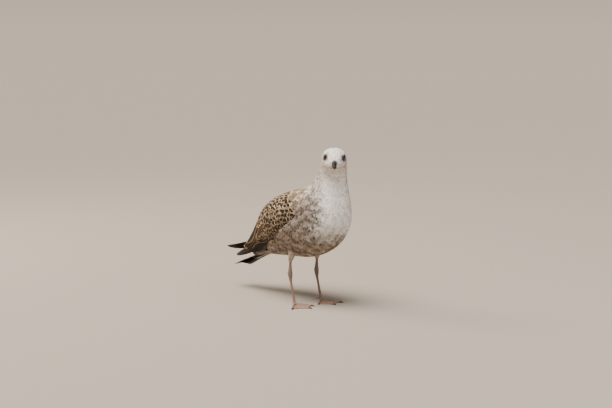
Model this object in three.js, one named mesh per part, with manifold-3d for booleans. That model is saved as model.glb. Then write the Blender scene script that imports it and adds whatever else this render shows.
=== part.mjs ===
// A yellow-legged gull in its first winter, standing with its head turned to its right: a life-size museum model.
// Millimetres, +Z up. The bird faces -Y, its left is +X, and it stands on Z = 0.
// Tables give places as "ahead" (towards the bill, along -Y) and "up" (along +Z).
import * as THREE from "three";
import { ParametricGeometry } from "three/addons/geometries/ParametricGeometry.js";
import { mergeVertices } from "three/addons/utils/BufferGeometryUtils.js";
import Module from "manifold-3d";

const wasm = await Module();
wasm.setup();

// ---- Driving dimensions ----

const GAP = 0.4; // between pieces that touch
const TOLERANCE = 0.06; // how far a cut piece may be simplified
const HEAD_TURN = THREE.MathUtils.degToRad(-38); // to the bird's right, about the neck
const HEAD_ROLL = THREE.MathUtils.degToRad(2.5); // the crown leans to the bird's right
const HEAD_AXIS = 93; // how far ahead the upright axis of the turned neck stands
const EYE_LEVEL = 339;
const EYE_AHEAD = 106;
const EYE_SIDE = 16.6;
const EYE_RADIUS = 7.8;
const LEG_SIDE = 38; // from the middle of the body to each leg
const ANKLE_AHEAD = 0;
const TOE_LENGTHS = { inner: 41, middle: 53, outer: 49 };
// Degrees outwards from straight ahead.
const TOE_ANGLES = {
  left: { inner: -46, middle: -4, outer: 28 },
  right: { inner: -33, middle: -3, outer: 44 },
};
const CLAW_LENGTH = 7.5;

const PLUMAGE_WHITE = "#cfc8bf";
const PLUMAGE_BROWN = "#77654f";
const QUILL_DARK = "#2e261e";
const BILL_HORN = "#2b2826";
const EYE_DARK = "#120c08";
const SKIN_PINK = "#b58f81";
const CLAW_BLACK = "#1b1714";

// ---- Curves and solids ----

// The row at t of a smooth curve through a table's rows, where t counts rows (a Catmull-Rom spline).
function rowAt(rows, t) {
  const last = rows.length - 1;
  const i = Math.min(Math.floor(t), last - 1);
  const f = t - i;
  const row = (n) => rows[Math.min(Math.max(n, 0), last)];
  return rows[0].map((_, c) => {
    const [p, q, r, s] = [i - 1, i, i + 1, i + 2].map((n) => row(n)[c]);
    return q + 0.5 * f * (r - p + f * (2 * p - 5 * q + 4 * r - s + f * (3 * (q - r) + s - p)));
  });
}

// A closed mesh as a solid, with its doubled vertices merged and its collapsed triangles dropped.
function solidOf(geometry) {
  const bare = new THREE.BufferGeometry();
  const open = geometry.index ? geometry.toNonIndexed() : geometry;
  bare.setAttribute("position", open.getAttribute("position"));
  const merged = mergeVertices(bare, 1e-3);
  const corners = merged.index.array;
  const kept = [];
  for (let i = 0; i < corners.length; i += 3) {
    const [a, b, c] = corners.subarray(i, i + 3);
    if (a !== b && b !== c && c !== a) kept.push(a, b, c);
  }
  const mesh = (order) =>
    new wasm.Manifold(
      new wasm.Mesh({
        numProp: 3,
        vertProperties: merged.attributes.position.array,
        triVerts: new Uint32Array(order),
      }),
    );
  const made = mesh(kept);
  return made.volume() > 0 ? made : mesh(kept.reverse());
}

// A closed skin whose point at (v, angle) is section(v, angle): v runs from pole to pole, angle goes once round.
function skinOf(section, around, along) {
  const point = (u, v, target) => target.copy(section(v, u * 2 * Math.PI));
  return solidOf(new ParametricGeometry(point, around, along));
}

// A standing limb through rows of [side, ahead, up, radius across, radius fore and aft], with level rings.
function limbOf(rows, around, along, grow = 0) {
  return skinOf(
    (v, angle) => {
      const [side, ahead, up, across, foreAft] = rowAt(rows, v * (rows.length - 1));
      const swell = v === 0 || v === 1 ? 0 : grow;
      const x = side + Math.cos(angle) * (across + swell);
      return new THREE.Vector3(x, Math.sin(angle) * (foreAft + swell) - ahead, up);
    },
    around,
    along,
  );
}

// The half of space beyond a point, on the side that a normal points to.
function halfSpace(point, normal) {
  const size = 900;
  const box = new THREE.BoxGeometry(size, size, size).translate(0, 0, size / 2);
  const turn = new THREE.Quaternion().setFromUnitVectors(
    new THREE.Vector3(0, 0, 1),
    normal.clone().normalize(),
  );
  return solidOf(box.applyQuaternion(turn).translate(point.x, point.y, point.z));
}

// A solid less its neighbours, without any crumbs that the cut leaves.
function cutBy(solid, ...neighbours) {
  let left = solid;
  for (const neighbour of neighbours) left = left.subtract(neighbour);
  const largest = left.decompose().sort((a, b) => b.volume() - a.volume())[0];
  return largest.simplify(TOLERANCE);
}

// ---- Body: bill base, over the crown and down the neck, through the trunk to the root of the tail ----

// Each row is a cut across the body: top [ahead, up], bottom [ahead, up], half width, and how high up the cut
// its widest place is. Before the neck is turned.
const BODY = [
  [131, 325, 131, 325, 0, 0.5],
  [128, 333.5, 125, 316, 10, 0.5],
  [116, 350, 114, 307, 19.5, 0.56],
  [93, 358.5, 106, 293, 27, 0.62],
  [66, 346, 107, 275, 28.5, 0.56],
  [53, 312, 112, 252, 34, 0.5],
  [33, 277, 119, 222, 45, 0.5],
  [0, 266, 116, 182, 56, 0.48],
  [-42, 250, 84, 140, 62, 0.46],
  [-88, 234, 28, 112, 60, 0.46],
  [-130, 202, -40, 105, 50, 0.48],
  [-164, 165, -98, 100, 35, 0.5],
  [-194, 137, -150, 96, 22, 0.5],
  [-210, 116, -198, 86, 9, 0.5],
  [-214, 88, -214, 88, 0, 0.5],
];
const FULLNESS = 0.88; // below 1 the cuts across the body are fuller than ellipses
const NECK_ROWS = [3.2, 7]; // over these rows the turn of the head fades out

// How much of the head's turn a place along the body takes, from 1 at the head to 0 at the trunk.
function turnShare(t) {
  return 1 - THREE.MathUtils.smoothstep(t, NECK_ROWS[0], NECK_ROWS[1]);
}

// Turns a point with the head: rolled about the bill's line, then turned about the neck's upright axis.
function turned(point, share = 1) {
  const rollCentre = new THREE.Vector3(0, 0, EYE_LEVEL);
  const neck = new THREE.Vector3(0, -HEAD_AXIS, 0);
  point.sub(rollCentre).applyAxisAngle(new THREE.Vector3(0, 1, 0), HEAD_ROLL * share * share);
  point.add(rollCentre).sub(neck);
  return point.applyAxisAngle(new THREE.Vector3(0, 0, 1), HEAD_TURN * share).add(neck);
}

function bodyPoint(v, angle, grow = 0) {
  const t = v * (BODY.length - 1);
  const [topAhead, topUp, lowAhead, lowUp, half, rise] = rowAt(BODY, t);
  const top = new THREE.Vector3(0, -topAhead, topUp);
  const low = new THREE.Vector3(0, -lowAhead, lowUp);
  const middle = low.clone().lerp(top, rise);
  const swell = v === 0 || v === 1 ? 0 : grow;
  const [c, s] = [Math.cos(angle), Math.sin(angle)];
  const spoke = (c > 0 ? top : low).clone().sub(middle);
  spoke.setLength(spoke.length() + swell);
  const point = middle.addScaledVector(spoke, Math.abs(c) ** FULLNESS);
  point.x += Math.sign(s) * Math.abs(s) ** FULLNESS * (half + swell);
  return turned(point, turnShare(t));
}

const bodyOf = (grow = 0) => skinOf((v, angle) => bodyPoint(v, angle, grow), 28, 36);
const body = bodyOf();
const grownBody = bodyOf(GAP);

// ---- Bill and eyes ----

// Rows of a mandible: ahead, top, bottom, half width.
const UPPER_BILL = [
  [122, 327, 327, 0],
  [124, 334, 323, 6],
  [141, 333.8, 323.8, 5.2],
  [157, 333.2, 324.4, 4.5],
  [169, 331.4, 324.6, 3.6],
  [177, 327.6, 322.2, 2.4],
  [180, 323.4, 321.4, 0.8],
  [180.2, 322.2, 322.2, 0],
];
const LOWER_BILL = [
  [120, 320.4, 320.4, 0],
  [122, 325.2, 316.2, 5.2],
  [140, 325.4, 317.2, 4.5],
  [157, 325.8, 317, 3.8],
  [165, 325.6, 318, 3.2],
  [173, 324.2, 321.4, 1.7],
  [175.5, 323.2, 323.2, 0],
];

function mandibleOf(rows, grow = 0) {
  return skinOf(
    (v, angle) => {
      const [ahead, top, low, half] = rowAt(rows, v * (rows.length - 1));
      const swell = v === 0 || v === 1 ? 0 : grow;
      const up = (top + low) / 2 + Math.cos(angle) * ((top - low) / 2 + swell);
      return turned(new THREE.Vector3(Math.sin(angle) * (half + swell), -ahead, up));
    },
    10,
    10,
  );
}

function eyeOf(side, grow = 0) {
  const ball = new THREE.SphereGeometry(EYE_RADIUS + grow, 12, 8);
  const centre = turned(new THREE.Vector3(side * EYE_SIDE, -EYE_AHEAD, EYE_LEVEL));
  return solidOf(ball.translate(centre.x, centre.y, centre.z));
}

const SIDES = { left: 1, right: -1 };
const bothSides = (make) => Object.values(SIDES).map(make);

const upperBill = cutBy(mandibleOf(UPPER_BILL), grownBody);
const lowerBill = cutBy(mandibleOf(LOWER_BILL), grownBody, mandibleOf(UPPER_BILL, GAP));
const grownEyes = bothSides((side) => eyeOf(side, GAP));

// ---- Wings, folded along the body ----

// Rows from the wrist to the last tertial: ahead, then [side, up] of the top edge, of the corner that the
// bulging outer face is drawn towards, and of the bottom edge, then the thickness.
const WING = [
  [46, 36, 227, 42, 219, 38, 205, 0],
  [34, 33, 243, 80, 235, 38, 191, 12],
  [8, 18, 257, 88, 249, 46, 165, 18],
  [-26, 9, 257, 96, 249, 48, 148, 20],
  [-72, 6, 245, 97, 237, 44, 126, 20],
  [-114, 4, 225, 84, 212, 32, 116, 16],
  [-146, 2, 192, 69, 184, 25, 108, 13],
  [-176, 2, 160, 50, 153, 19, 102, 9],
  [-205, 2, 136, 30, 128, 13, 100, 7],
  [-221, 4, 118, 14, 113, 10, 102, 3],
  [-226, 8, 109, 9, 109, 9, 108, 0],
];

function wingPoint(side, v, angle, grow = 0) {
  const row = rowAt(WING, v * (WING.length - 1));
  const [ahead, topX, topZ, cornerX, cornerZ, lowX, lowZ, thick] = row;
  const [c, s] = [Math.cos(angle), Math.sin(angle)];
  const b = (1 - c) / 2; // from the top edge down to the bottom edge; s is positive on the outer face
  const bend = (p, q, r) => (1 - b) ** 2 * p + 2 * b * (1 - b) * q + b * b * r;
  const slope = (p, q, r) => (1 - b) * (q - p) + b * (r - q);
  const down = new THREE.Vector2(slope(topX, cornerX, lowX), slope(topZ, cornerZ, lowZ));
  down.normalize();
  const swell = v === 0 || v === 1 ? 0 : grow;
  const point = new THREE.Vector2(bend(topX, cornerX, lowX), bend(topZ, cornerZ, lowZ));
  point.addScaledVector(down, -c * swell);
  point.addScaledVector(new THREE.Vector2(-down.y, down.x), s * swell + Math.min(s, 0) * thick);
  return new THREE.Vector3(side * point.x, -ahead, point.y);
}

const wingOf = (side, grow = 0) => skinOf((v, angle) => wingPoint(side, v, angle, grow), 20, 18);
const grownWings = bothSides((side) => wingOf(side, GAP));

// The closed primaries of a wing, as a thin blade: ahead, top [side, up], bottom [side, up], half thickness.
// The left wing's tip crosses over the right wing's.
const PRIMARIES = {
  left: [
    [-165, 22, 129, 30, 109, 0],
    [-172, 18, 133, 30, 108, 2],
    [-215, 4, 123, 20, 103, 2],
    [-262, -8, 111, 2, 97, 1.6],
    [-296, -13, 103, -9, 96, 1.2],
    [-307, -13, 100, -13, 100, 0],
  ],
  right: [
    [-165, -22, 123, -30, 105, 0],
    [-172, -18, 123, -30, 101, 2],
    [-215, -6, 109, -20, 91, 2],
    [-262, 5, 95, -6, 81, 1.6],
    [-296, 14, 83, 9, 74, 1.2],
    [-307, 15, 76, 15, 76, 0],
  ],
};

function bladeOf(rows, grow = 0) {
  return skinOf(
    (v, angle) => {
      const row = rowAt(rows, v * (rows.length - 1));
      const [ahead, topX, topZ, lowX, lowZ, half] = row;
      const swell = v === 0 || v === 1 ? 0 : grow;
      const spread = new THREE.Vector3(topX - lowX, 0, topZ - lowZ).multiplyScalar(0.5);
      const flat = new THREE.Vector3(spread.z, 0, -spread.x).normalize();
      spread.setLength(spread.length() + swell);
      const point = new THREE.Vector3((topX + lowX) / 2, -ahead, (topZ + lowZ) / 2);
      point.addScaledVector(spread, Math.cos(angle));
      return point.addScaledVector(flat, Math.sin(angle) * (half + swell));
    },
    8,
    10,
  );
}

const grownLeftBlade = bladeOf(PRIMARIES.left, GAP);
const grownRightBlade = bladeOf(PRIMARIES.right, GAP);

// ---- Tail: a closed fan, slightly arched across ----

// Rows: ahead, middle height, half width, half thickness.
const TAIL = [
  [-165, 96, 0, 0],
  [-169, 94.5, 17, 3],
  [-196, 85, 21, 3],
  [-228, 73, 26, 2.6],
  [-248, 66, 27, 2],
  [-256, 63, 19, 1.2],
  [-257, 62.5, 0, 0],
];
const TAIL_ARCH = 5; // how far the outer feathers hang below the middle ones

function tailOf() {
  return skinOf(
    (v, angle) => {
      const [ahead, up, half, thick] = rowAt(TAIL, v * (TAIL.length - 1));
      const across = Math.sin(angle);
      const arch = TAIL_ARCH * across * across * (half / 27);
      return new THREE.Vector3(across * half, -ahead, up - arch + Math.cos(angle) * thick);
    },
    12,
    10,
  );
}

// ---- Legs and feet ----

const BACK_OF_HOCK = -17;

// The feathered upper leg, and the bare leg from the trousers' hem over the hock to the ankle.
const THIGH = [
  [-7, -3, 138, 0, 0],
  [-6, -7, 130, 11, 15],
  [-2, -12, 113, 7.4, 9],
  [0, -15, 102, 4.4, 5.2],
  [0, -15.4, 98.5, 0, 0],
];
const SHANK = [
  [0, BACK_OF_HOCK + 2, 105, 0, 0],
  [0, BACK_OF_HOCK + 2, 103, 2.6, 3],
  [0, BACK_OF_HOCK + 1, 89, 3, 3.6],
  [0, BACK_OF_HOCK, 71, 5.2, 6.4],
  [0, BACK_OF_HOCK + 1.5, 61, 3.8, 4.8],
  [0, BACK_OF_HOCK + 4, 52, 2.6, 3.4],
  [0, -7, 29, 2.6, 3.3],
  [0, -2.5, 13, 3, 3.6],
  [0, ANKLE_AHEAD - 1, 7.5, 3.6, 4.2],
  [0, ANKLE_AHEAD, 5, 0, 0],
];
const WEB_THICKNESS = 1.2;
const WEB_UP = 0.6;
const FLOOR = halfSpace(new THREE.Vector3(0, 0, 0), new THREE.Vector3(0, 0, 1));

const onSide = (rows, side) => rows.map(([x, ...rest]) => [side * (LEG_SIDE + x), ...rest]);

// The unit vector along a toe, for a foot on one side.
function toeDirection(side, name) {
  const angles = side > 0 ? TOE_ANGLES.left : TOE_ANGLES.right;
  const angle = THREE.MathUtils.degToRad(angles[name]) * side;
  return new THREE.Vector3(Math.sin(angle), -Math.cos(angle), 0);
}

// A rod of rings along a level direction from a start point, with rows of [distance, up, half width, half height].
function rodOf(start, direction, rows, around, along, grow = 0) {
  const across = new THREE.Vector3(-direction.y, direction.x, 0);
  return skinOf(
    (v, angle) => {
      const [distance, up, half, high] = rowAt(rows, v * (rows.length - 1));
      const swell = v === 0 || v === 1 ? 0 : grow;
      const point = start.clone().addScaledVector(direction, distance);
      point.addScaledVector(across, Math.cos(angle) * (half + swell));
      return point.setZ(up + Math.sin(angle) * (high + swell));
    },
    around,
    along,
  );
}

const ankleOf = (side) => new THREE.Vector3(side * LEG_SIDE, -ANKLE_AHEAD, 0);

function toeOf(side, name, grow = 0) {
  const length = TOE_LENGTHS[name];
  const rows = [
    [-4, 4, 0, 0],
    [-2, 4, 3.4, 3.6],
    [length * 0.33, 2.6, 2.3, 2.6],
    [length * 0.66, 2.3, 2.3, 2.4],
    [length * 0.92, 2, 2.1, 2.1],
    [length, 1.9, 0, 0],
  ];
  return rodOf(ankleOf(side), toeDirection(side, name), rows, 6, 7, grow);
}

function clawOf(side, name) {
  const tip = TOE_LENGTHS[name];
  const rows = [
    [tip - 3, 2.2, 0, 0],
    [tip - 2, 2.3, 1.3, 1.5],
    [tip + CLAW_LENGTH * 0.4, 2.3, 1.1, 1.3],
    [tip + CLAW_LENGTH * 0.8, 1.2, 0.6, 0.7],
    [tip + CLAW_LENGTH, 0.5, 0, 0],
  ];
  return rodOf(ankleOf(side), toeDirection(side, name), rows, 6, 6);
}

// The two webs, from the inner toe over the middle one to the outer one, with hollow front edges.
function webOf(side) {
  const at = (name, share) => {
    const point = toeDirection(side, name).multiplyScalar(TOE_LENGTHS[name] * share);
    return point.add(ankleOf(side));
  };
  const shape = new THREE.Shape();
  const heel = ankleOf(side);
  shape.moveTo(heel.x, heel.y);
  const hollowTo = (from, to) => {
    const start = at(from, 0.95);
    const end = at(to, 0.95);
    const dip = start.clone().add(end).multiplyScalar(0.5).lerp(heel, 0.16);
    shape.lineTo(start.x, start.y);
    shape.quadraticCurveTo(dip.x, dip.y, end.x, end.y);
  };
  hollowTo("inner", "middle");
  hollowTo("middle", "outer");
  shape.closePath();
  const options = { depth: WEB_THICKNESS, bevelEnabled: false, curveSegments: 6 };
  return solidOf(new THREE.ExtrudeGeometry(shape, options).translate(0, 0, WEB_UP));
}

// The small raised hind toe, behind and a little inside the ankle.
function hindToeOf(side) {
  const direction = new THREE.Vector3(-side * 0.35, 0.94, 0).normalize();
  const rows = [
    [-1, 8, 0, 0],
    [1, 8, 2.2, 2.2],
    [7, 6.6, 1.8, 1.8],
    [11, 5.4, 0, 0],
  ];
  return rodOf(ankleOf(side), direction, rows, 6, 5);
}

function footOf(side) {
  const toes = Object.keys(TOE_LENGTHS).map((name) => toeOf(side, name));
  const joined = [...toes, hindToeOf(side)].reduce((a, b) => a.add(b), webOf(side));
  return joined.intersect(FLOOR);
}

// ---- The bird ----

const bird = new THREE.Group();

function place(name, solid, colour, roughness) {
  const { vertProperties, triVerts } = solid.getMesh();
  const geometry = new THREE.BufferGeometry();
  geometry.setAttribute("position", new THREE.BufferAttribute(vertProperties, 3));
  geometry.setIndex(new THREE.BufferAttribute(triVerts, 1));
  geometry.computeVertexNormals();
  const material = new THREE.MeshStandardMaterial({ color: colour, roughness, metalness: 0 });
  const mesh = new THREE.Mesh(geometry, material);
  mesh.name = name;
  bird.add(mesh);
}

// The body is parted by thin cuts at the throat, at the foot of the neck and behind the breast and gut.
const cutAt = (ahead, up, leanAhead, leanUp) => (shift) => {
  const normal = new THREE.Vector3(0, -leanAhead, leanUp).normalize();
  const point = new THREE.Vector3(0, -ahead, up).addScaledVector(normal, shift);
  return { point, normal };
};
const throatCut = cutAt(92, 295, 0.3, 0.95);
const neckCut = cutAt(84, 253, 0.55, 0.84);
const rumpCut = cutAt(-60, 150, 0.93, 0.36);

const beyond = (cut) => {
  const { point, normal } = cut(GAP / 2);
  return halfSpace(point, normal);
};
const before = (cut) => {
  const { point, normal } = cut(-GAP / 2);
  return halfSpace(point, normal.negate());
};

const head = cutBy(body.intersect(beyond(throatCut)), ...grownEyes);
const neck = cutBy(body.intersect(before(throatCut)).intersect(beyond(neckCut)));
const trunk = cutBy(body.intersect(before(neckCut)).intersect(beyond(rumpCut)));
const rump = cutBy(body.intersect(before(rumpCut)));

place("head", head, PLUMAGE_WHITE, 0.9);
place("bill_upper", upperBill, BILL_HORN, 0.4);
place("bill_lower", lowerBill, BILL_HORN, 0.4);
place("neck", neck, PLUMAGE_WHITE, 0.9);
place("trunk", trunk, PLUMAGE_WHITE, 0.9);
place("rump", rump, PLUMAGE_WHITE, 0.9);
place("tail", cutBy(tailOf(), grownBody, grownLeftBlade, grownRightBlade), QUILL_DARK, 0.8);

const tertialCut = cutAt(-112, 155, 0.94, 0.34);
for (const [name, side] of Object.entries(SIDES)) {
  const wing = cutBy(wingOf(side), grownBody);
  place(`wing_${name}_coverts`, cutBy(wing.intersect(beyond(tertialCut))), PLUMAGE_BROWN, 0.85);
  place(`wing_${name}_tertials`, cutBy(wing.intersect(before(tertialCut))), PLUMAGE_BROWN, 0.85);
  const over = side < 0 ? [grownLeftBlade] : [];
  const blade = cutBy(bladeOf(PRIMARIES[name]), grownBody, ...grownWings, ...over);
  place(`wing_${name}_primaries`, blade, QUILL_DARK, 0.7);
  place(`eye_${name}`, eyeOf(side), EYE_DARK, 0.1);

  const shank = onSide(SHANK, side);
  const grownShank = limbOf(shank, 8, 16, GAP);
  const thigh = cutBy(limbOf(onSide(THIGH, side), 12, 6), grownBody, grownShank);
  place(`thigh_${name}`, thigh, PLUMAGE_WHITE, 0.9);
  place(`leg_${name}`, cutBy(limbOf(shank, 8, 16), grownBody), SKIN_PINK, 0.6);
  place(`foot_${name}`, cutBy(footOf(side), grownShank), SKIN_PINK, 0.6);
  for (const toe of Object.keys(TOE_LENGTHS)) {
    const claw = cutBy(clawOf(side, toe), toeOf(side, toe, GAP));
    place(`claw_${name}_${toe}`, claw, CLAW_BLACK, 0.35);
  }
}

// The origin is under the middle of the bird's box, on the floor.
const box = new THREE.Box3().setFromObject(bird);
const centre = box.getCenter(new THREE.Vector3());
bird.position.set(-centre.x, -centre.y, -box.min.z);

export default bird;
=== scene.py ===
"""A yellow-legged gull in its first winter, life size, standing with its head turned to its right.

Row frame: metres, +Z up. The bird faces -Y, its left is +X, and it stands on Z = 0. Tables and shapes are
worked out in millimetres as x (the bird's left), y (back) and z (up), and are put in the row frame as a mesh
is made.
"""

import math
from collections import namedtuple

import bpy
import numpy as np
from mathutils.bvhtree import BVHTree
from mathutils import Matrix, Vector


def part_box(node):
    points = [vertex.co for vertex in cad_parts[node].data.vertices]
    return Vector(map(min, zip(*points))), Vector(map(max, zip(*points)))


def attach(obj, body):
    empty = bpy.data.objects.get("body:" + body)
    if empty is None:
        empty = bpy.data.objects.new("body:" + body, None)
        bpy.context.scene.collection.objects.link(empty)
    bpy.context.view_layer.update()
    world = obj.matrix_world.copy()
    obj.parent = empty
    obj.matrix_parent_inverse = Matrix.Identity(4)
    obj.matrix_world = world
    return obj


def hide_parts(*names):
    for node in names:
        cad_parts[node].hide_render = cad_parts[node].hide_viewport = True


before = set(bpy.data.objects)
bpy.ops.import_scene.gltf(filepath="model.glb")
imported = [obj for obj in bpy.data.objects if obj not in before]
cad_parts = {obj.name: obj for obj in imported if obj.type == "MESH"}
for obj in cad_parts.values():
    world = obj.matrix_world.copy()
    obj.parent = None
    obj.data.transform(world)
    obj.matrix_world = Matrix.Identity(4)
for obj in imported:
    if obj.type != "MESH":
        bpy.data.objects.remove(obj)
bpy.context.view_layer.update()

# ---- Form of the bird ----
# The outer form that the plumage gives the bird: rings from the bill's base over the head, neck and trunk to
# the root of the tail, two folded wings laid on it, and the feathered thighs. Sizes are those of the packed
# solids.

# A cut across the body per row: top [ahead, up], bottom [ahead, up], half width, and how high its widest
# place is.
BODY_ROWS = np.array([
    [131, 325, 131, 325, 0, 0.5],
    [128, 333.5, 125, 316, 10, 0.5],
    [116, 350, 114, 307, 19.5, 0.56],
    [93, 358.5, 106, 293, 27, 0.62],
    [66, 346, 107, 275, 29.6, 0.54],
    [53, 312, 112, 252, 34, 0.5],
    [33, 277, 119, 222, 45, 0.5],
    [0, 266, 116, 182, 56, 0.48],
    [-42, 250, 84, 140, 62, 0.46],
    [-88, 234, 28, 112, 60, 0.46],
    [-130, 202, -40, 105, 47, 0.48],
    [-164, 165, -98, 100, 29, 0.5],
    [-194, 137, -150, 96, 17.5, 0.5],
    [-210, 112, -198, 86, 8, 0.5],
    [-214, 88, -214, 88, 0, 0.5],
])
FULLNESS = 0.88  # below 1 the cuts across the body are fuller than ellipses
HEAD_TURN = math.radians(-38)  # to the bird's right
HEAD_ROLL = math.radians(2.5)
HEAD_AXIS = 93  # how far ahead the neck's upright axis stands
NECK_ROWS = (3.2, 7)  # over these rows the turn of the head fades out
EYE_PLACE = (16.6, -106, 339)  # the left eye's centre before the head turns
EYE_RADIUS = 7.8
LORE = (117, 337)  # ahead and up of the hollow between eye and bill, which lets the eye look ahead
LORE_SIZE = (6.5, 8)
LORE_DEEP = 3.0

# A cut across the folded wing per row: ahead, then [side, up] of its top edge, of the corner that its bulging
# face is drawn towards, and of its bottom edge. It runs on past the last feather, so that tips can lie on it.
WING_ROWS = np.array([
    [46, 36, 227, 42, 219, 38, 205],
    [34, 33, 243, 80, 235, 38, 191],
    [8, 18, 257, 88, 249, 46, 165],
    [-26, 9, 257, 96, 249, 48, 148],
    [-72, 6, 245, 97, 237, 44, 126],
    [-114, 4, 225, 84, 212, 32, 116],
    [-146, 2, 192, 69, 184, 25, 108],
    [-176, 2, 160, 50, 153, 19, 102],
    [-205, 2, 136, 34, 128, 15, 97],
    [-232, 4, 117, 22, 110, 11, 93],
    [-250, 6, 106, 15, 100, 9, 90],
])
# The feathered thigh: side, ahead, up, radius across, radius fore and aft.
THIGH_ROWS = np.array([
    [31, -4, 142, 12, 17],
    [32, -7, 130, 11, 15],
    [36, -12, 113, 7.4, 9],
    [38, -15, 102, 4.4, 5.2],
    [38, -15.6, 97, 3.2, 3.8],
])


def row_at(rows, t):
    """A table's values at row t, on a smooth curve through its rows (a Catmull-Rom spline)."""
    last = len(rows) - 1
    first = np.clip(np.floor(t).astype(int), 0, last - 1)
    f = (t - first)[..., None]
    p, q, r, s = (rows[np.clip(first + k, 0, last)] for k in (-1, 0, 1, 2))
    return q + 0.5 * f * (r - p + f * (2 * p - 5 * q + 4 * r - s + f * (3 * (q - r) + s - p)))


def crossed(rows, cols):
    """Two arrays that hold each pair of a row's value and a column's."""
    return np.meshgrid(rows, cols, indexing="ij")


def angles_round(count):
    """Even angles once round, without the last, which is the first again."""
    return np.linspace(0, 2 * np.pi, count)[:-1]


def smoothstep(low, high, value):
    """0 below low, 1 above high, and a smooth rise between."""
    f = np.clip((value - low) / (high - low), 0, 1)
    return f * f * (3 - 2 * f)


def spot(x, y, at, size):
    """1 at a place in two directions, falling off smoothly over a size in each."""
    return np.exp(-(((x - at[0]) / size[0]) ** 2 + ((y - at[1]) / size[1]) ** 2))


def mix(a, b, share):
    """a where share is 0, b where it is 1, for colours with the share of each point."""
    share = np.asarray(share)[..., None]
    return a * (1 - share) + b * share


def swung(p, q, angle):
    """Two coordinates turned by an angle in their plane, from the first towards the second."""
    return p * np.cos(angle) - q * np.sin(angle), p * np.sin(angle) + q * np.cos(angle)


def turned(points, share=1.0):
    """Points turned with the head: rolled about the bill's line, then turned about the neck's axis."""
    x, y, z = points[..., 0], points[..., 1] + HEAD_AXIS, points[..., 2] - EYE_PLACE[2]
    z, x = swung(z, x, HEAD_ROLL * np.square(share))
    x, y = swung(x, y, HEAD_TURN * np.asarray(share))
    return np.stack((x, y - HEAD_AXIS, z + EYE_PLACE[2]), -1)


def unturned(points):
    """The head's own places of points on the turned head."""
    x, y, z = points[..., 0], points[..., 1] + HEAD_AXIS, points[..., 2] - EYE_PLACE[2]
    x, y = swung(x, y, -HEAD_TURN)
    z, x = swung(z, x, -HEAD_ROLL)
    return np.stack((x, y - HEAD_AXIS, z + EYE_PLACE[2]), -1)


def body_point(t, angle):
    """A ring at row t: from its middle a spoke to the top or bottom times |cos| to a power, and half the
    width times |sin| to that power sideways, turned with the head as far as the row takes part."""
    rows = row_at(BODY_ROWS, t)
    top = np.stack((rows[..., 0] * 0, -rows[..., 0], rows[..., 1]), -1)
    low = np.stack((rows[..., 0] * 0, -rows[..., 2], rows[..., 3]), -1)
    middle = mix(low, top, rows[..., 5])
    c, s = np.cos(angle), np.sin(angle)
    spoke = np.where((c > 0)[..., None], top, low) - middle
    point = middle + spoke * (np.abs(c) ** FULLNESS)[..., None]
    point[..., 0] += np.sign(s) * np.abs(s) ** FULLNESS * rows[..., 4]
    near_lore = spot(-point[..., 1], point[..., 2], LORE, LORE_SIZE)
    point[..., 0] -= np.sign(s) * np.abs(s) * near_lore * LORE_DEEP
    return turned(point, 1 - smoothstep(*NECK_ROWS, t))


def wing_point(side, t, down):
    """A cut across the wing's outer face at row t: the curve from the top edge (0) towards the corner and to
    the bottom edge (1), a quadratic Bezier."""
    ahead, top_x, top_z, corner_x, corner_z, low_x, low_z = np.moveaxis(row_at(WING_ROWS, t), -1, 0)
    near, half, far = (1 - down) ** 2, 2 * down * (1 - down), down**2
    x = near * top_x + half * corner_x + far * low_x
    z = near * top_z + half * corner_z + far * low_z
    return np.stack((side * x, -ahead, z), -1)


def unit(vectors):
    """Vectors with a length of 1."""
    return vectors / np.maximum(np.linalg.norm(vectors, axis=-1, keepdims=True), 1e-9)


# A surface that feathers lie on: its grid holds for each place the point, the slopes along (u) and around
# (v), and the outward normal. wrap says that it closes round, outward is -1 where v runs the other way
# round.
Sheet = namedtuple("Sheet", "grid wrap outward")


def sheet_of(points, wrap=False, outward=1):
    """A grid of points as a sheet, with slopes from differences and normals from their cross product."""
    along = np.gradient(points, axis=0) * (points.shape[0] - 1)
    around = np.gradient(points, axis=1) * (points.shape[1] - 1)
    if wrap:
        around[:, 0] = (points[:, 1] - points[:, -2]) / 2 * (points.shape[1] - 1)
        around[:, -1] = around[:, 0]
    normal = unit(np.cross(around, along) * outward)
    return Sheet(np.concatenate((points, along, around, normal), -1), wrap, outward)


def sample(sheet, u, v, columns=slice(None)):
    """The sheet's values at u, v from 0 to 1, between its grid's places (bilinear)."""
    rows, cols = sheet.grid.shape[:2]
    x = np.clip(u, 0, 1) * (rows - 1)
    y = (v % 1 if sheet.wrap else np.clip(v, 0, 1)) * (cols - 1)
    i = np.minimum(x.astype(int), rows - 2)
    j = np.minimum(y.astype(int), cols - 2)
    f, g = (x - i)[..., None], (y - j)[..., None]
    grid = sheet.grid[..., columns]
    near = grid[i, j] * (1 - g) + grid[i, j + 1] * g
    far = grid[i + 1, j] * (1 - g) + grid[i + 1, j + 1] * g
    return near * (1 - f) + far * f


BODY_LAST = len(BODY_ROWS) - 1
WING_LAST = len(WING_ROWS) - 1
WING_DOWN = (-0.14, 1.06)  # a wing's sheet reaches a little past its two edges
SIDES = {"left": 1, "right": -1}

body_t, body_angle = crossed(np.linspace(0, BODY_LAST, 421), np.linspace(0, 2 * np.pi, 361))
body_sheet = sheet_of(body_point(body_t, body_angle), wrap=True)
wing_t, wing_down = crossed(np.linspace(0, WING_LAST, 241), np.linspace(*WING_DOWN, 141))
wing_sheets = {
    name: sheet_of(wing_point(side, wing_t, wing_down), outward=side) for name, side in SIDES.items()
}

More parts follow.
